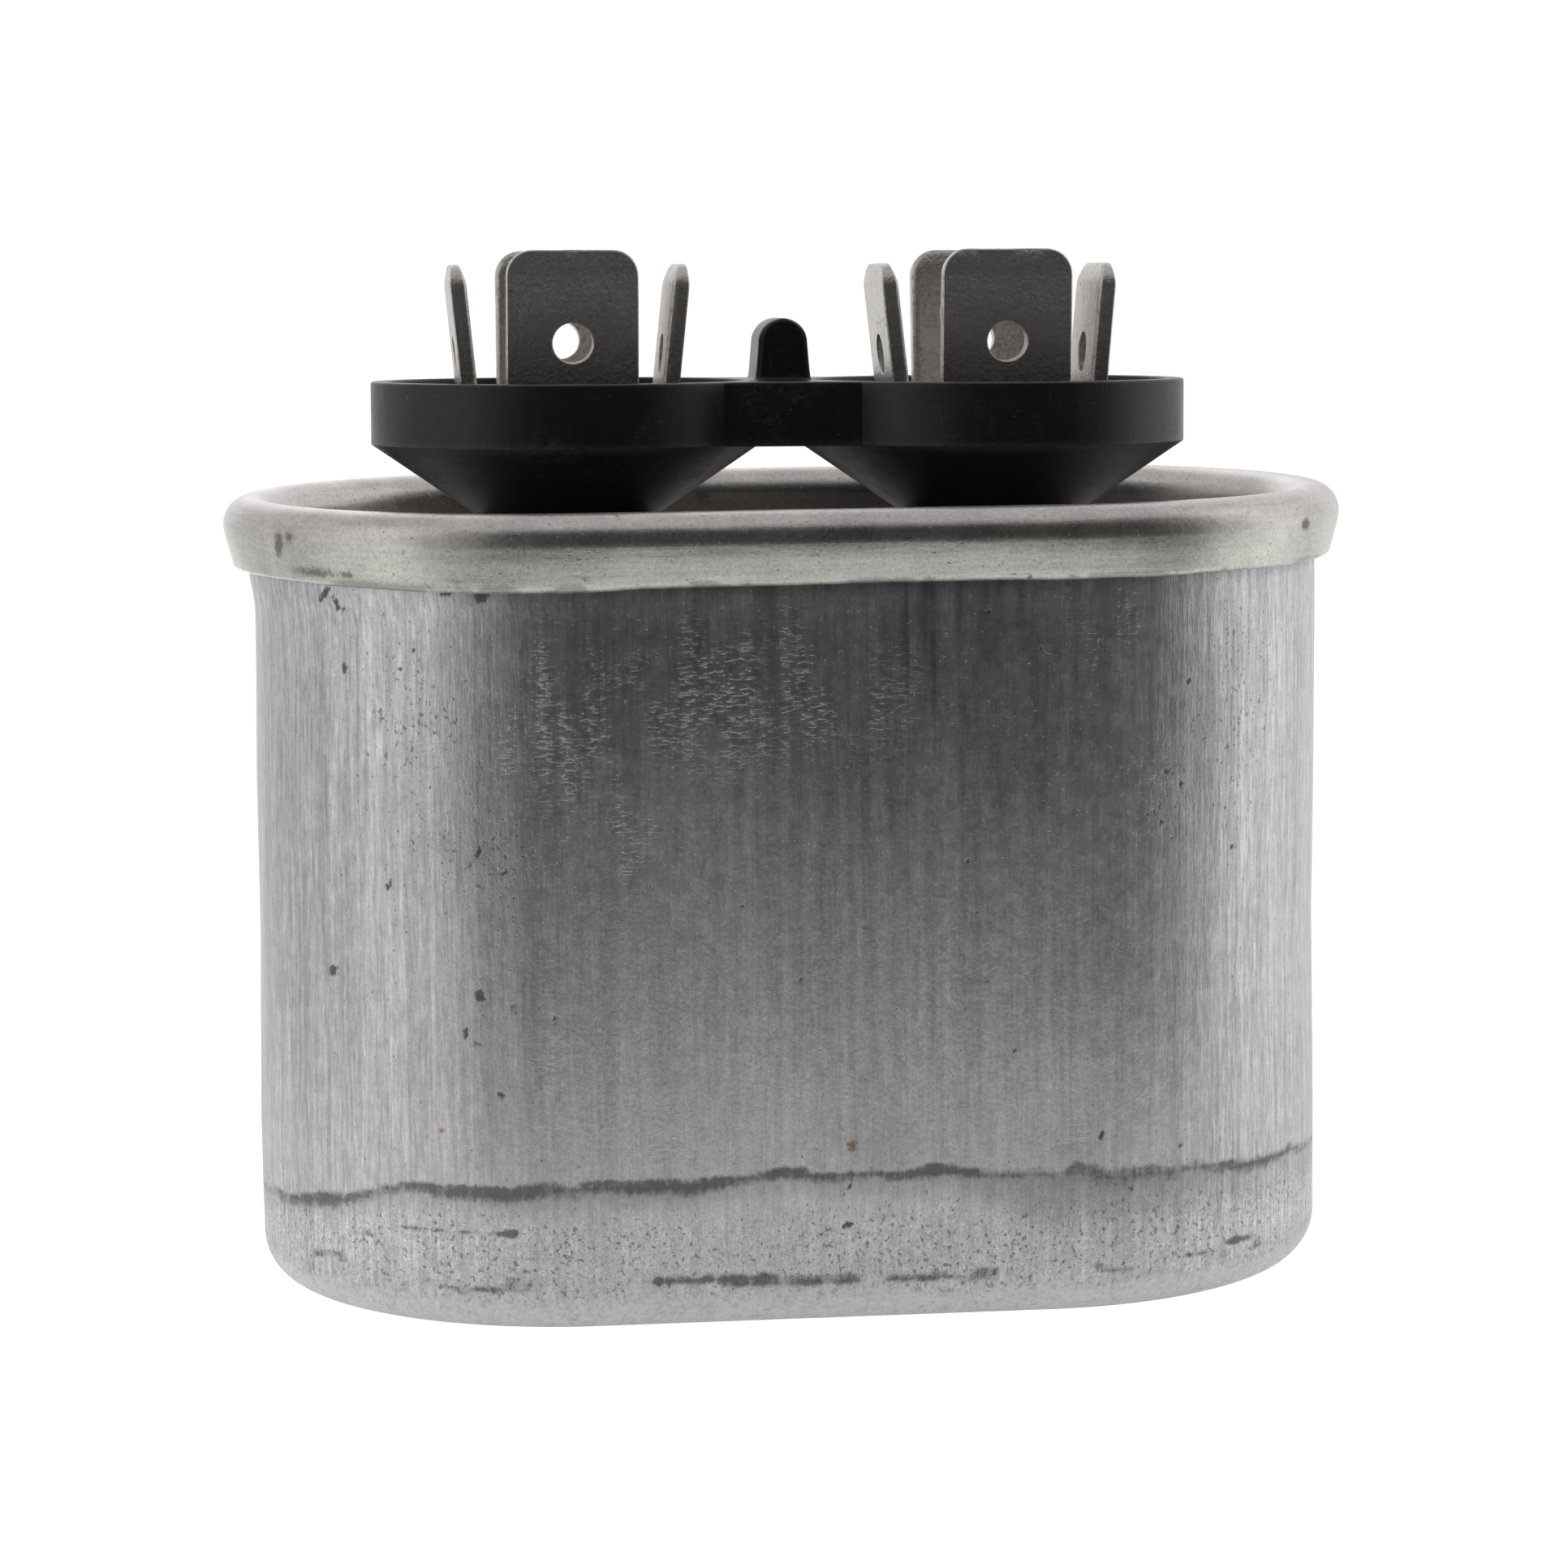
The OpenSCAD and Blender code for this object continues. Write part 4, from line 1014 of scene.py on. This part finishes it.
def mat_can():
    M = Mat("drawn_aluminium")
    x, y, z = M.sep()
    s1 = M.noise(M.vec(1, 1, 0.016), 1.5, 3, 0.62)
    s2 = M.noise(M.vec(1, 1, 0.045, (7, 3, 1)), 3.6, 4, 0.66)
    s3 = M.noise(M.vec(1, 1, 0.10, (3, 9, 4)), 7.5, 2, 0.6)
    s4 = M.noise(M.vec(1, 1, 0.02, (13, 2, 8)), 5.0, 1, 0.5)
    mott = M.noise(M.vec(1, 1, 0.8), 1.5, 4, 0.68)
    grain = M.noise(M.vec(1, 1, 0.75, (5, 5, 5)), 5.2, 3, 0.72)
    dust = M.noise(M.vec(1, 1, 1.1, (15, 6, 2)), 9.5, 1, 0.5)
    tone, scuff, pit = M.attr("tone"), M.attr("scuff"), M.attr("pit")
    fleck, speck, warm = M.attr("fleck"), M.attr("speck"), M.attr("warm")
    rust, dull_band_floor_glow, streak = M.attr("rust"), M.attr("dull_band_floor_glow"), M.attr("streak")
    low = M.map(z, 6.6, 4.6)
    k = M.m("MULTIPLY", around(M, s1, 0.55), around(M, mott, 0.60))
    sa = M.m("MULTIPLY_ADD", streak, 0.62, 0.27)
    k = M.m("MULTIPLY", k, M.m("MULTIPLY_ADD", M.m("SUBTRACT", s2, 0.5), sa, 1.0))
    k = M.m("MULTIPLY", k, M.m("MULTIPLY_ADD", M.m("SUBTRACT", s3, 0.5), M.m("MULTIPLY", sa, 0.9), 1.0))
    ga = M.m("MULTIPLY_ADD", low, 0.55, 0.40)
    k = M.m("MULTIPLY", k, M.m("MULTIPLY_ADD", M.m("SUBTRACT", grain, 0.5), ga, 1.0))
    k = M.m("MULTIPLY", k, M.m("MULTIPLY_ADD", M.m("SUBTRACT", dust, 0.5), M.m("MULTIPLY", ga, 0.9), 1.0))
    # thin dark draw lines, here and there
    dl = M.m("MULTIPLY", M.map(s4, 0.60, 0.70), M.m("MULTIPLY_ADD", streak, 0.16, 0.05))
    dl = M.m("MULTIPLY", dl, M.map(s3, 0.35, 0.60))
    k = M.m("MULTIPLY", k, M.m("SUBTRACT", 1.0, dl))
    k = M.m("MULTIPLY", k, tone)
    col = M.scale_col((0.600, 0.586, 0.604), k)
    # warm streaks
    col = M.mix(M.m("MULTIPLY", M.m("MULTIPLY", warm, M.map(s2, 0.42, 0.62)), 0.40), col, (0.33, 0.25, 0.22))
    # bright flecks across the draw lines, gathered in columns
    fl = M.noise(M.vec(1.0, 1.0, 3.4, (1, 2, 3)), 2.3, 2, 0.55)
    colm = M.map(M.m("ADD", s1, M.m("MULTIPLY", s2, 0.5)), 0.62, 0.82, 0.35, 1.0)
    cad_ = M.m("MULTIPLY", fleck, colm)
    fmask = M.m("MULTIPLY", M.map(fl, 0.545, 0.64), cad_, clamp=True)
    fdark = M.m("MULTIPLY", M.map(fl, 0.47, 0.38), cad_, clamp=True)
    col = M.mix(M.m("MULTIPLY", fmask, 0.80), col, (0.80, 0.79, 0.81))
    col = M.mix(M.m("MULTIPLY", fdark, 0.38), col, (0.15, 0.15, 0.16))
    # tiny pits everywhere, thicker in the speckled patches
    pn = M.noise(M.vec(1, 1, 0.8, (2, 8, 5)), 4.6, 2, 0.6)
    thr = M.m("MULTIPLY_ADD", speck, 0.150, pn)
    pmask = M.map(thr, 0.690, 0.760)
    col = M.mix(M.m("MULTIPLY", pmask, 0.60), col, (0.12, 0.115, 0.13))
    # single marks, edges broken up
    pk = M.m("ADD", pit, M.m("MULTIPLY", M.m("SUBTRACT", grain, 0.5), 1.5))
    mmask = M.map(pk, 0.34, 0.70)
    col = M.mix(M.m("MULTIPLY", mmask, 0.80), col, (0.060, 0.058, 0.064))
    # scuff lines: drawn out by the draw lines
    sk = M.m("ADD", scuff, M.m("MULTIPLY", M.m("SUBTRACT", s2, 0.5), 0.75))
    sk = M.m("ADD", sk, M.m("MULTIPLY", M.m("SUBTRACT", grain, 0.5), 0.85))
    sk = M.m("ADD", sk, M.m("MULTIPLY", M.m("SUBTRACT", mott, 0.5), 0.9))
    smask = M.m("MULTIPLY", M.map(sk, 0.32, 0.92), M.map(scuff, 0.02, 0.25))
    col = M.mix(M.m("MULTIPLY", smask, 0.74), col, (0.105, 0.104, 0.118))
    # rust specks
    rk = M.m("ADD", rust, M.m("MULTIPLY", M.m("SUBTRACT", grain, 0.5), 1.1))
    rmask = M.map(rk, 0.3, 0.6)
    col = M.mix(M.m("MULTIPLY", rmask, 0.78), col, (0.27, 0.145, 0.04))
    # dull band at the bottom edge, painted near white: a painted reflection of the floor
    mm_ = M.m("MULTIPLY", dull_band_floor_glow, M.map(M.m("ADD", grain, M.m("MULTIPLY", mott, 0.6)), 0.62, 0.92, 0.55, 1.0))
    col = M.mix(M.m("MULTIPLY", mm_, 0.75), col, (0.93, 0.94, 0.93))
    rough = M.m("MULTIPLY_ADD", mott, 0.14, 0.26)
    rough = M.m("ADD", rough, M.m("MULTIPLY", s1, 0.06))
    rough = M.m("ADD", rough, M.m("MULTIPLY", M.m("MAXIMUM", smask, mmask), 0.2))
    rough = M.m("ADD", rough, M.m("MULTIPLY", dull_band_floor_glow, 0.15), clamp=True)
    h = M.m("MULTIPLY_ADD", s2, 0.8, M.m("MULTIPLY", s3, 0.6))
    h = M.m("ADD", h, M.m("MULTIPLY", grain, 0.9))
    h = M.m("ADD", h, M.m("MULTIPLY", fmask, 0.6))
    h = M.m("SUBTRACT", h, M.m("MULTIPLY", M.m("MAXIMUM", pmask, mmask), 0.9))
    nb = M.bump(h, 0.014)
    M.set(Base_Color=col, Roughness=rough, Normal=nb, Metallic=M.m("SUBTRACT", 1.0, M.m("MULTIPLY", mm_, 0.75)))
    return M.mat


def mat_cover():
    M = Mat("plated_steel")
    g = M.noise(M.vec(), 5.0, 4, 0.7)
    fine = M.noise(M.vec(1, 1, 1, (6, 2, 4)), 10.0, 1, 0.5)
    bl = M.noise(M.vec(1, 1, 1, (4, 4, 4)), 0.45, 4, 0.62)
    long = M.noise(M.vec(0.35, 0.35, 6.0), 0.9, 3, 0.6)
    smudge, grime_and_shade, recess = M.attr("smudge"), M.attr("grime_and_shade"), M.attr("recess")
    lower, crest, stain = M.attr("lower"), M.attr("crest"), M.attr("stain")
    k = M.m("MULTIPLY", around(M, g, 0.75), around(M, bl, 0.55))
    k = M.m("MULTIPLY", k, around(M, long, 0.35))
    k = M.m("MULTIPLY", k, around(M, fine, 0.45))
    # greenish lower half and pinkish crest: painted reflections, not the plating's own colour
    base = M.mix(lower, (0.60, 0.575, 0.555), (0.60, 0.605, 0.555))
    base = M.mix(M.m("MULTIPLY", crest, 0.7), base, (0.60, 0.565, 0.560))
    col = M.scale_col(base, k)
    # painted shade: the recess darkened towards brown
    col = M.mix(M.m("MULTIPLY", recess, 0.45), col, (0.33, 0.29, 0.26))
    sp = M.map(M.noise(M.vec(1, 1, 1, (9, 1, 6)), 4.8, 2, 0.55), 0.66, 0.74)
    col = M.mix(M.m("MULTIPLY", sp, 0.55), col, (0.13, 0.12, 0.11))
    ticks = M.map(M.noise(M.vec(1, 1, 3.0, (2, 7, 1)), 2.6, 2, 0.55), 0.64, 0.72)
    col = M.mix(M.m("MULTIPLY", ticks, 0.35), col, (0.20, 0.19, 0.17))
    gk = M.m("ADD", M.m("MAXIMUM", smudge, stain), M.m("MULTIPLY", M.m("SUBTRACT", g, 0.5), 1.6))
    gm = M.map(gk, 0.3, 0.85)
    col = M.mix(M.m("MULTIPLY", gm, 0.70), col, (0.10, 0.10, 0.092))
    # grime and painted shade: darker patches along the lip's lower edge, tucked under the seam
    ge = M.m("ADD", grime_and_shade, M.m("MULTIPLY", M.m("SUBTRACT", g, 0.5), 1.6))
    col = M.mix(M.m("MULTIPLY", M.map(ge, 0.45, 0.95), 0.5), col, (0.14, 0.14, 0.13))
    rough = M.m("MULTIPLY_ADD", g, 0.12, 0.18)
    rough = M.m("ADD", rough, M.m("MULTIPLY", bl, 0.08))
    rough = M.m("ADD", rough, M.m("MULTIPLY", recess, 0.15))
    rough = M.m("ADD", rough, M.m("MULTIPLY", crest, 0.06))
    rough = M.m("ADD", rough, M.m("MULTIPLY", gm, 0.25), clamp=True)
    h = M.m("MULTIPLY_ADD", g, 0.6, M.m("MULTIPLY", long, 0.4))
    h = M.m("SUBTRACT", h, M.m("MULTIPLY", sp, 0.6))
    M.set(Base_Color=col, Roughness=rough, Normal=M.bump(h, 0.012))
    M.b.inputs["Metallic"].default_value = 1.0
    return M.mat


def mat_blade():
    M = Mat("tinned_brass")
    g = M.noise(M.vec(), 7.0, 4, 0.65)
    pits = M.noise(M.vec(1, 1, 1, (3, 3, 8)), 3.6, 3, 0.6)
    bl = M.noise(M.vec(1, 1, 1, (1, 7, 2)), 0.7, 3, 0.6)
    k = M.m("MULTIPLY", around(M, g, 0.55), around(M, bl, 0.30))
    col = M.scale_col((0.60, 0.570, 0.545), k)
    pm = M.map(pits, 0.56, 0.66)
    col = M.mix(M.m("MULTIPLY", pm, 0.40), col, (0.26, 0.245, 0.235))
    pl = M.map(pits, 0.42, 0.34)
    col = M.mix(M.m("MULTIPLY", pl, 0.30), col, (0.78, 0.76, 0.74))
    rust = M.map(M.noise(M.vec(1, 1, 1, (5, 9, 1)), 1.9, 2, 0.6), 0.68, 0.76)
    col = M.mix(M.m("MULTIPLY", rust, 0.35), col, (0.26, 0.17, 0.13))
    rough = M.m("MULTIPLY_ADD", g, 0.14, 0.30)
    rough = M.m("ADD", rough, M.m("MULTIPLY", pm, 0.1), clamp=True)
    h = M.m("MULTIPLY_ADD", pits, -0.9, M.m("MULTIPLY", g, 0.4))
    M.set(Base_Color=col, Roughness=rough, Normal=M.bump(h, 0.042))
    M.b.inputs["Metallic"].default_value = 1.0
    return M.mat


def mat_block():
    M = Mat("black_moulding")
    g = M.noise(M.vec(), 6.0, 3, 0.6)
    bl = M.noise(M.vec(1, 1, 1, (2, 2, 2)), 0.42, 4, 0.62)
    flow = M.noise(M.vec(1, 1, 0.25), 1.6, 4, 0.7)
    cloud = M.noise(M.vec(1, 1, 1, (7, 7, 1)), 0.28, 3, 0.55)
    col = M.scale_col((0.0125, 0.0122, 0.0135), M.m("MULTIPLY", around(M, g, 0.9), around(M, bl, 1.2)))
    # handled patches: a haze of fine grey rubs
    sc = M.noise(M.vec(0.9, 0.9, 2.0, (6, 1, 9)), 3.2, 5, 0.78)
    sm = M.m("MULTIPLY", M.map(sc, 0.47, 0.66), M.map(cloud, 0.50, 0.66))
    col = M.mix(M.m("MULTIPLY", sm, 0.55), col, (0.066, 0.062, 0.073))
    scr = M.map(M.noise(M.vec(4.0, 4.0, 0.5, (3, 1, 9)), 1.1, 2, 0.5), 0.70, 0.74)
    scr2 = M.map(M.noise(M.vec(0.6, 0.6, 6.0, (1, 4, 2)), 1.1, 2, 0.5), 0.70, 0.75)
    col = M.mix(M.m("MULTIPLY", M.m("MAXIMUM", scr, scr2), 0.22), col, (0.10, 0.10, 0.11))
    tick = M.map(M.noise(M.vec(1, 1, 1, (8, 3, 1)), 4.2, 1, 0.4), 0.74, 0.79)
    col = M.mix(M.m("MULTIPLY", tick, 0.35), col, (0.16, 0.16, 0.17))
    # worn edges
    edge = M.map(M.attr("edge"), 0.15, 0.9)
    ed = M.m("MULTIPLY", edge, M.map(sc, 0.34, 0.56, 0.25, 1.0))
    col = M.mix(M.m("MULTIPLY", ed, 0.5), col, (0.10, 0.095, 0.092))
    rough = M.m("MULTIPLY_ADD", flow, 0.22, 0.26)
    rough = M.m("ADD", rough, M.m("MULTIPLY", sm, 0.2), clamp=True)
    h = M.m("MULTIPLY_ADD", g, 0.4, M.m("MULTIPLY", flow, 0.6))
    M.set(Base_Color=col, Roughness=rough, Normal=M.bump(h, 0.018))
    M.b.inputs["Specular IOR Level"].default_value = 0.42
    return M.mat


def mat_plain(name, base, metallic, rough0, scale=3.0, var=0.3, bump=0.02, squash=(1, 1, 1), second=None, rvar=0.15, spec=0.5):
    M = Mat(name)
    g = M.noise(M.vec(*squash), scale, 4, 0.62)
    bl = M.noise(M.vec(1, 1, 1, (4, 1, 2)), scale * 0.12, 3, 0.6)
    k = M.m("MULTIPLY", around(M, g, var), around(M, bl, var))
    col = M.scale_col(base, k)
    if second is not None:
        col = M.mix(M.m("MULTIPLY", M.map(bl, 0.45, 0.65), 0.6), col, second)
    rough = M.m("MULTIPLY_ADD", g, rvar, rough0, clamp=True)
    M.set(Base_Color=col, Roughness=rough, Normal=M.bump(g, bump))
    M.b.inputs["Metallic"].default_value = metallic
    M.b.inputs["Specular IOR Level"].default_value = spec
    return M.mat


def assign(o, mat):
    o.data.materials.clear()
    o.data.materials.append(mat)


def cad_material(node, mat):
    o = NODES[node]
    if not o.data.materials:
        o.data.materials.append(mat)
    for i in range(len(o.material_slots)):
        o.material_slots[i].material = mat


# ---------------------------------------------------------------- the pieces
blade, rivet_mat = mat_blade(), mat_plain("rivet_metal", (0.58, 0.57, 0.55), 1.0, 0.22, 5.0, 0.25, 0.02, rvar=0.2)
pieces = [
    (make_can(), mat_can(), ("can",), "can"),
    (make_cover(), mat_cover(), ("cover",), "cover"),
    (make_block(), mat_block(), ("terminal_block",), "block"),
    (make_terminal("terminal_left_stamping", -1, LEAN_LEFT, 0.0, seed=1), blade, ("terminal_left",), "terminal"),
    (make_terminal("terminal_right_stamping", 1, LEAN_RIGHT, TURN_RIGHT, burr=(3, 3.1, -1, 0.09), seed=4), blade, ("terminal_right",), "terminal"),
    (make_rivet("rivet_left_turned", -1), rivet_mat, ("rivet_left",), "rivet"),
    (make_rivet("rivet_right_turned", 1), rivet_mat, ("rivet_right",), "rivet"),
]
for o, mat, nodes, slot in pieces:
    assign(o, mat)
    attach(o, "root")
    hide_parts(*nodes)

hidden = {
    "gasket_left": mat_plain("gasket_rubber", (0.018, 0.018, 0.019), 0.0, 0.55, 6.0, 0.4, 0.03),
    "seam_compound": mat_plain("seam_compound", (0.06, 0.058, 0.045), 0.0, 0.6, 2.5, 0.4, 0.06, second=(0.09, 0.085, 0.06)),
    "bush_left": mat_plain("bush_polymer", (0.68, 0.65, 0.55), 0.0, 0.42, 4.0, 0.12, 0.01),
    "washer_left": mat_plain("washer_steel", (0.60, 0.58, 0.53), 1.0, 0.28, 5.0, 0.25, 0.02),
    "breaker_plate": mat_plain("pressed_board", (0.24, 0.12, 0.05), 0.0, 0.55, 2.0, 0.5, 0.05, (0.4, 3.0, 3.0), (0.17, 0.08, 0.035)),
    "lug_left": mat_plain("lug_brass", (0.68, 0.48, 0.20), 1.0, 0.26, 5.0, 0.25, 0.02, second=(0.50, 0.33, 0.13)),
    "lead_short": mat_plain("tinned_lead", (0.66, 0.64, 0.60), 1.0, 0.24, 6.0, 0.25, 0.02),
    "lead_sleeve": mat_plain("sleeve_paper", (0.76, 0.72, 0.58), 0.0, 0.6, 3.0, 0.2, 0.03, (3, 3, 0.4)),
    "winding": mat_plain("metallised_film", (0.62, 0.64, 0.68), 0.85, 0.18, 9.0, 0.35, 0.02, (5, 5, 0.2)),
    "winding_core": mat_plain("core_tube", (0.78, 0.77, 0.72), 0.0, 0.4, 3.0, 0.12, 0.01),
    "end_spray_top": mat_plain("sprayed_zinc", (0.36, 0.37, 0.39), 0.9, 0.62, 7.0, 0.6, 0.12, second=(0.25, 0.26, 0.28)),
    "element_wrap": mat_plain("wrap_film", (0.74, 0.74, 0.68), 0.0, 0.2, 1.5, 0.12, 0.01, (1, 1, 0.2)),
    "bottom_insulator": mat_plain("insulating_board", (0.42, 0.31, 0.19), 0.0, 0.6, 2.5, 0.3, 0.04),
}
share = {"gasket_right": "gasket_left", "bush_right": "bush_left", "washer_right": "washer_left", "lug_right": "lug_left",
         "lead_long": "lead_short", "end_spray_bottom": "end_spray_top"}
for node, mat in hidden.items():
    cad_material(node, mat)
for node, other in share.items():
    cad_material(node, hidden[other])
can_m, cover_m = pieces[0][1], pieces[1][1]
for node, k in (("can", 0), ("cover", 1), ("terminal_block", 2), ("terminal_left", 3), ("terminal_right", 4), ("rivet_left", 5), ("rivet_right", 6)):
    cad_material(node, pieces[k][1])

# ---------------------------------------------------------------- floor: a pale sheet that ends short of the camera
fm = Mat("pale_floor")
fg = fm.noise(fm.vec(), 0.02, 2, 0.5)
fm.set(Base_Color=fm.scale_col((0.90, 0.905, 0.90), around(fm, fg, 0.02)))
fm.b.inputs["Roughness"].default_value = 0.9
fm.b.inputs["Specular IOR Level"].default_value = 0.2
fm.b.inputs["Emission Color"].default_value = (1.0, 1.0, 1.0, 1.0)
flp = fm.node("ShaderNodeLightPath")
fm.put(fm.b.inputs["Emission Strength"], fm.m("MULTIPLY_ADD", flp.outputs["Is Camera Ray"], 0.62, 0.20))
fb = Build()
rings = [fb.add(with_z(circle(0, 0.0, r, 96), -0.02)) for r in (4.0, 20.0, 45.0, 78.0)]
for q0, q1 in zip(rings[:-1], rings[1:]):
    fb.strip(q0, q1)
fb.f.append(tuple(int(i) for i in rings[0]))
floor = fb.make("floor")
assign(floor, fm.mat)

# ---------------------------------------------------------------- light: a white tent, open towards the camera
world = bpy.data.worlds.new("tent")
scene.world = world
world.use_nodes = True
wt = world.node_tree
wt.nodes.clear()


class Sky(Mat):
    def __init__(self, tree):
        self.t = tree


W = Sky(wt)
tc = W.node("ShaderNodeTexCoord")
sp = W.node("ShaderNodeSeparateXYZ")
W.put(sp.inputs[0], tc.outputs["Generated"])
dx_, dy_, dz_ = sp.outputs
az = W.m("ARCTAN2", dx_, W.m("MULTIPLY", dy_, -1.0))                 # 0 towards the camera's side, + to the right
az = W.m("MULTIPLY_ADD", az, 1.0 / (2 * math.pi), 0.5)
el = W.m("ARCSINE", dz_)
ramp = W.node("ShaderNodeValToRGB")
W.put(ramp.inputs[0], az)
LEVEL = 0.60
stops = [(-180, 2.3), (-166, 1.8), (-152, 1.2), (-136, 1.058), (-123, 1.127), (-111, 0.989), (-96, 1.127), (-82, 1.322), (-68, 1.587), (-54, 0.98), (-40, 0.5), (-27, 0.12), (0, 0.07), (40, 0.09), (56, 0.16), (68, 0.675), (80, 1.377), (92, 1.782), (108, 1.566), (128, 1.377), (147, 1.512), (166, 1.7), (180, 2.3)]
e = ramp.color_ramp.elements
while len(e) > 1:
    e.remove(e[-1])
e[0].position, e[0].color = 0.0, (*([stops[0][1]] * 3), 1)
for a, v in stops[1:]:
    q = e.new((a + 180) / 360)
    q.color = (v, v, v, 1)
ramp.color_ramp.interpolation = "EASE"
sep_up = W.map(el, math.radians(40), math.radians(62))
low_fill = W.mix(W.map(el, math.radians(-11), math.radians(-24)), (0.0, 0.0, 0.0), (0.26, 0.26, 0.26))
lum = W.mix(1.0, ramp.outputs["Color"], low_fill, "LIGHTEN")
lum = W.mix(sep_up, lum, (0.95, 0.95, 0.95))
bg1, bg2 = W.node("ShaderNodeBackground"), W.node("ShaderNodeBackground")
W.put(bg1.inputs["Color"], lum)
bg1.inputs["Strength"].default_value = LEVEL
bg2.inputs["Color"].default_value = (1, 1, 1, 1)
bg2.inputs["Strength"].default_value = 1.05
lp = W.node("ShaderNodeLightPath")
mx = W.node("ShaderNodeMixShader")
wout = W.node("ShaderNodeOutputWorld")
wt.links.new(lp.outputs["Is Camera Ray"], mx.inputs[0])
wt.links.new(bg1.outputs[0], mx.inputs[1])
wt.links.new(bg2.outputs[0], mx.inputs[2])
wt.links.new(mx.outputs[0], wout.inputs["Surface"])


def area(name, loc, target, size, power, color=(1, 1, 1), size_y=None):
    d = bpy.data.lights.new(name, "AREA")
    d.energy, d.color, d.size = power, color, size
    if size_y:
        d.shape, d.size_y = "RECTANGLE", size_y
    o = bpy.data.objects.new(name, d)
    scene.collection.objects.link(o)
    o.location = loc
    o.rotation_euler = (Vector(target) - Vector(loc)).to_track_quat("-Z", "Y").to_euler()
    o.visible_glossy = False
    return o


area("overhead_softbox", (0.0, 0.10, 0.55), (0, 0, 0.02), 0.5, 0.5)
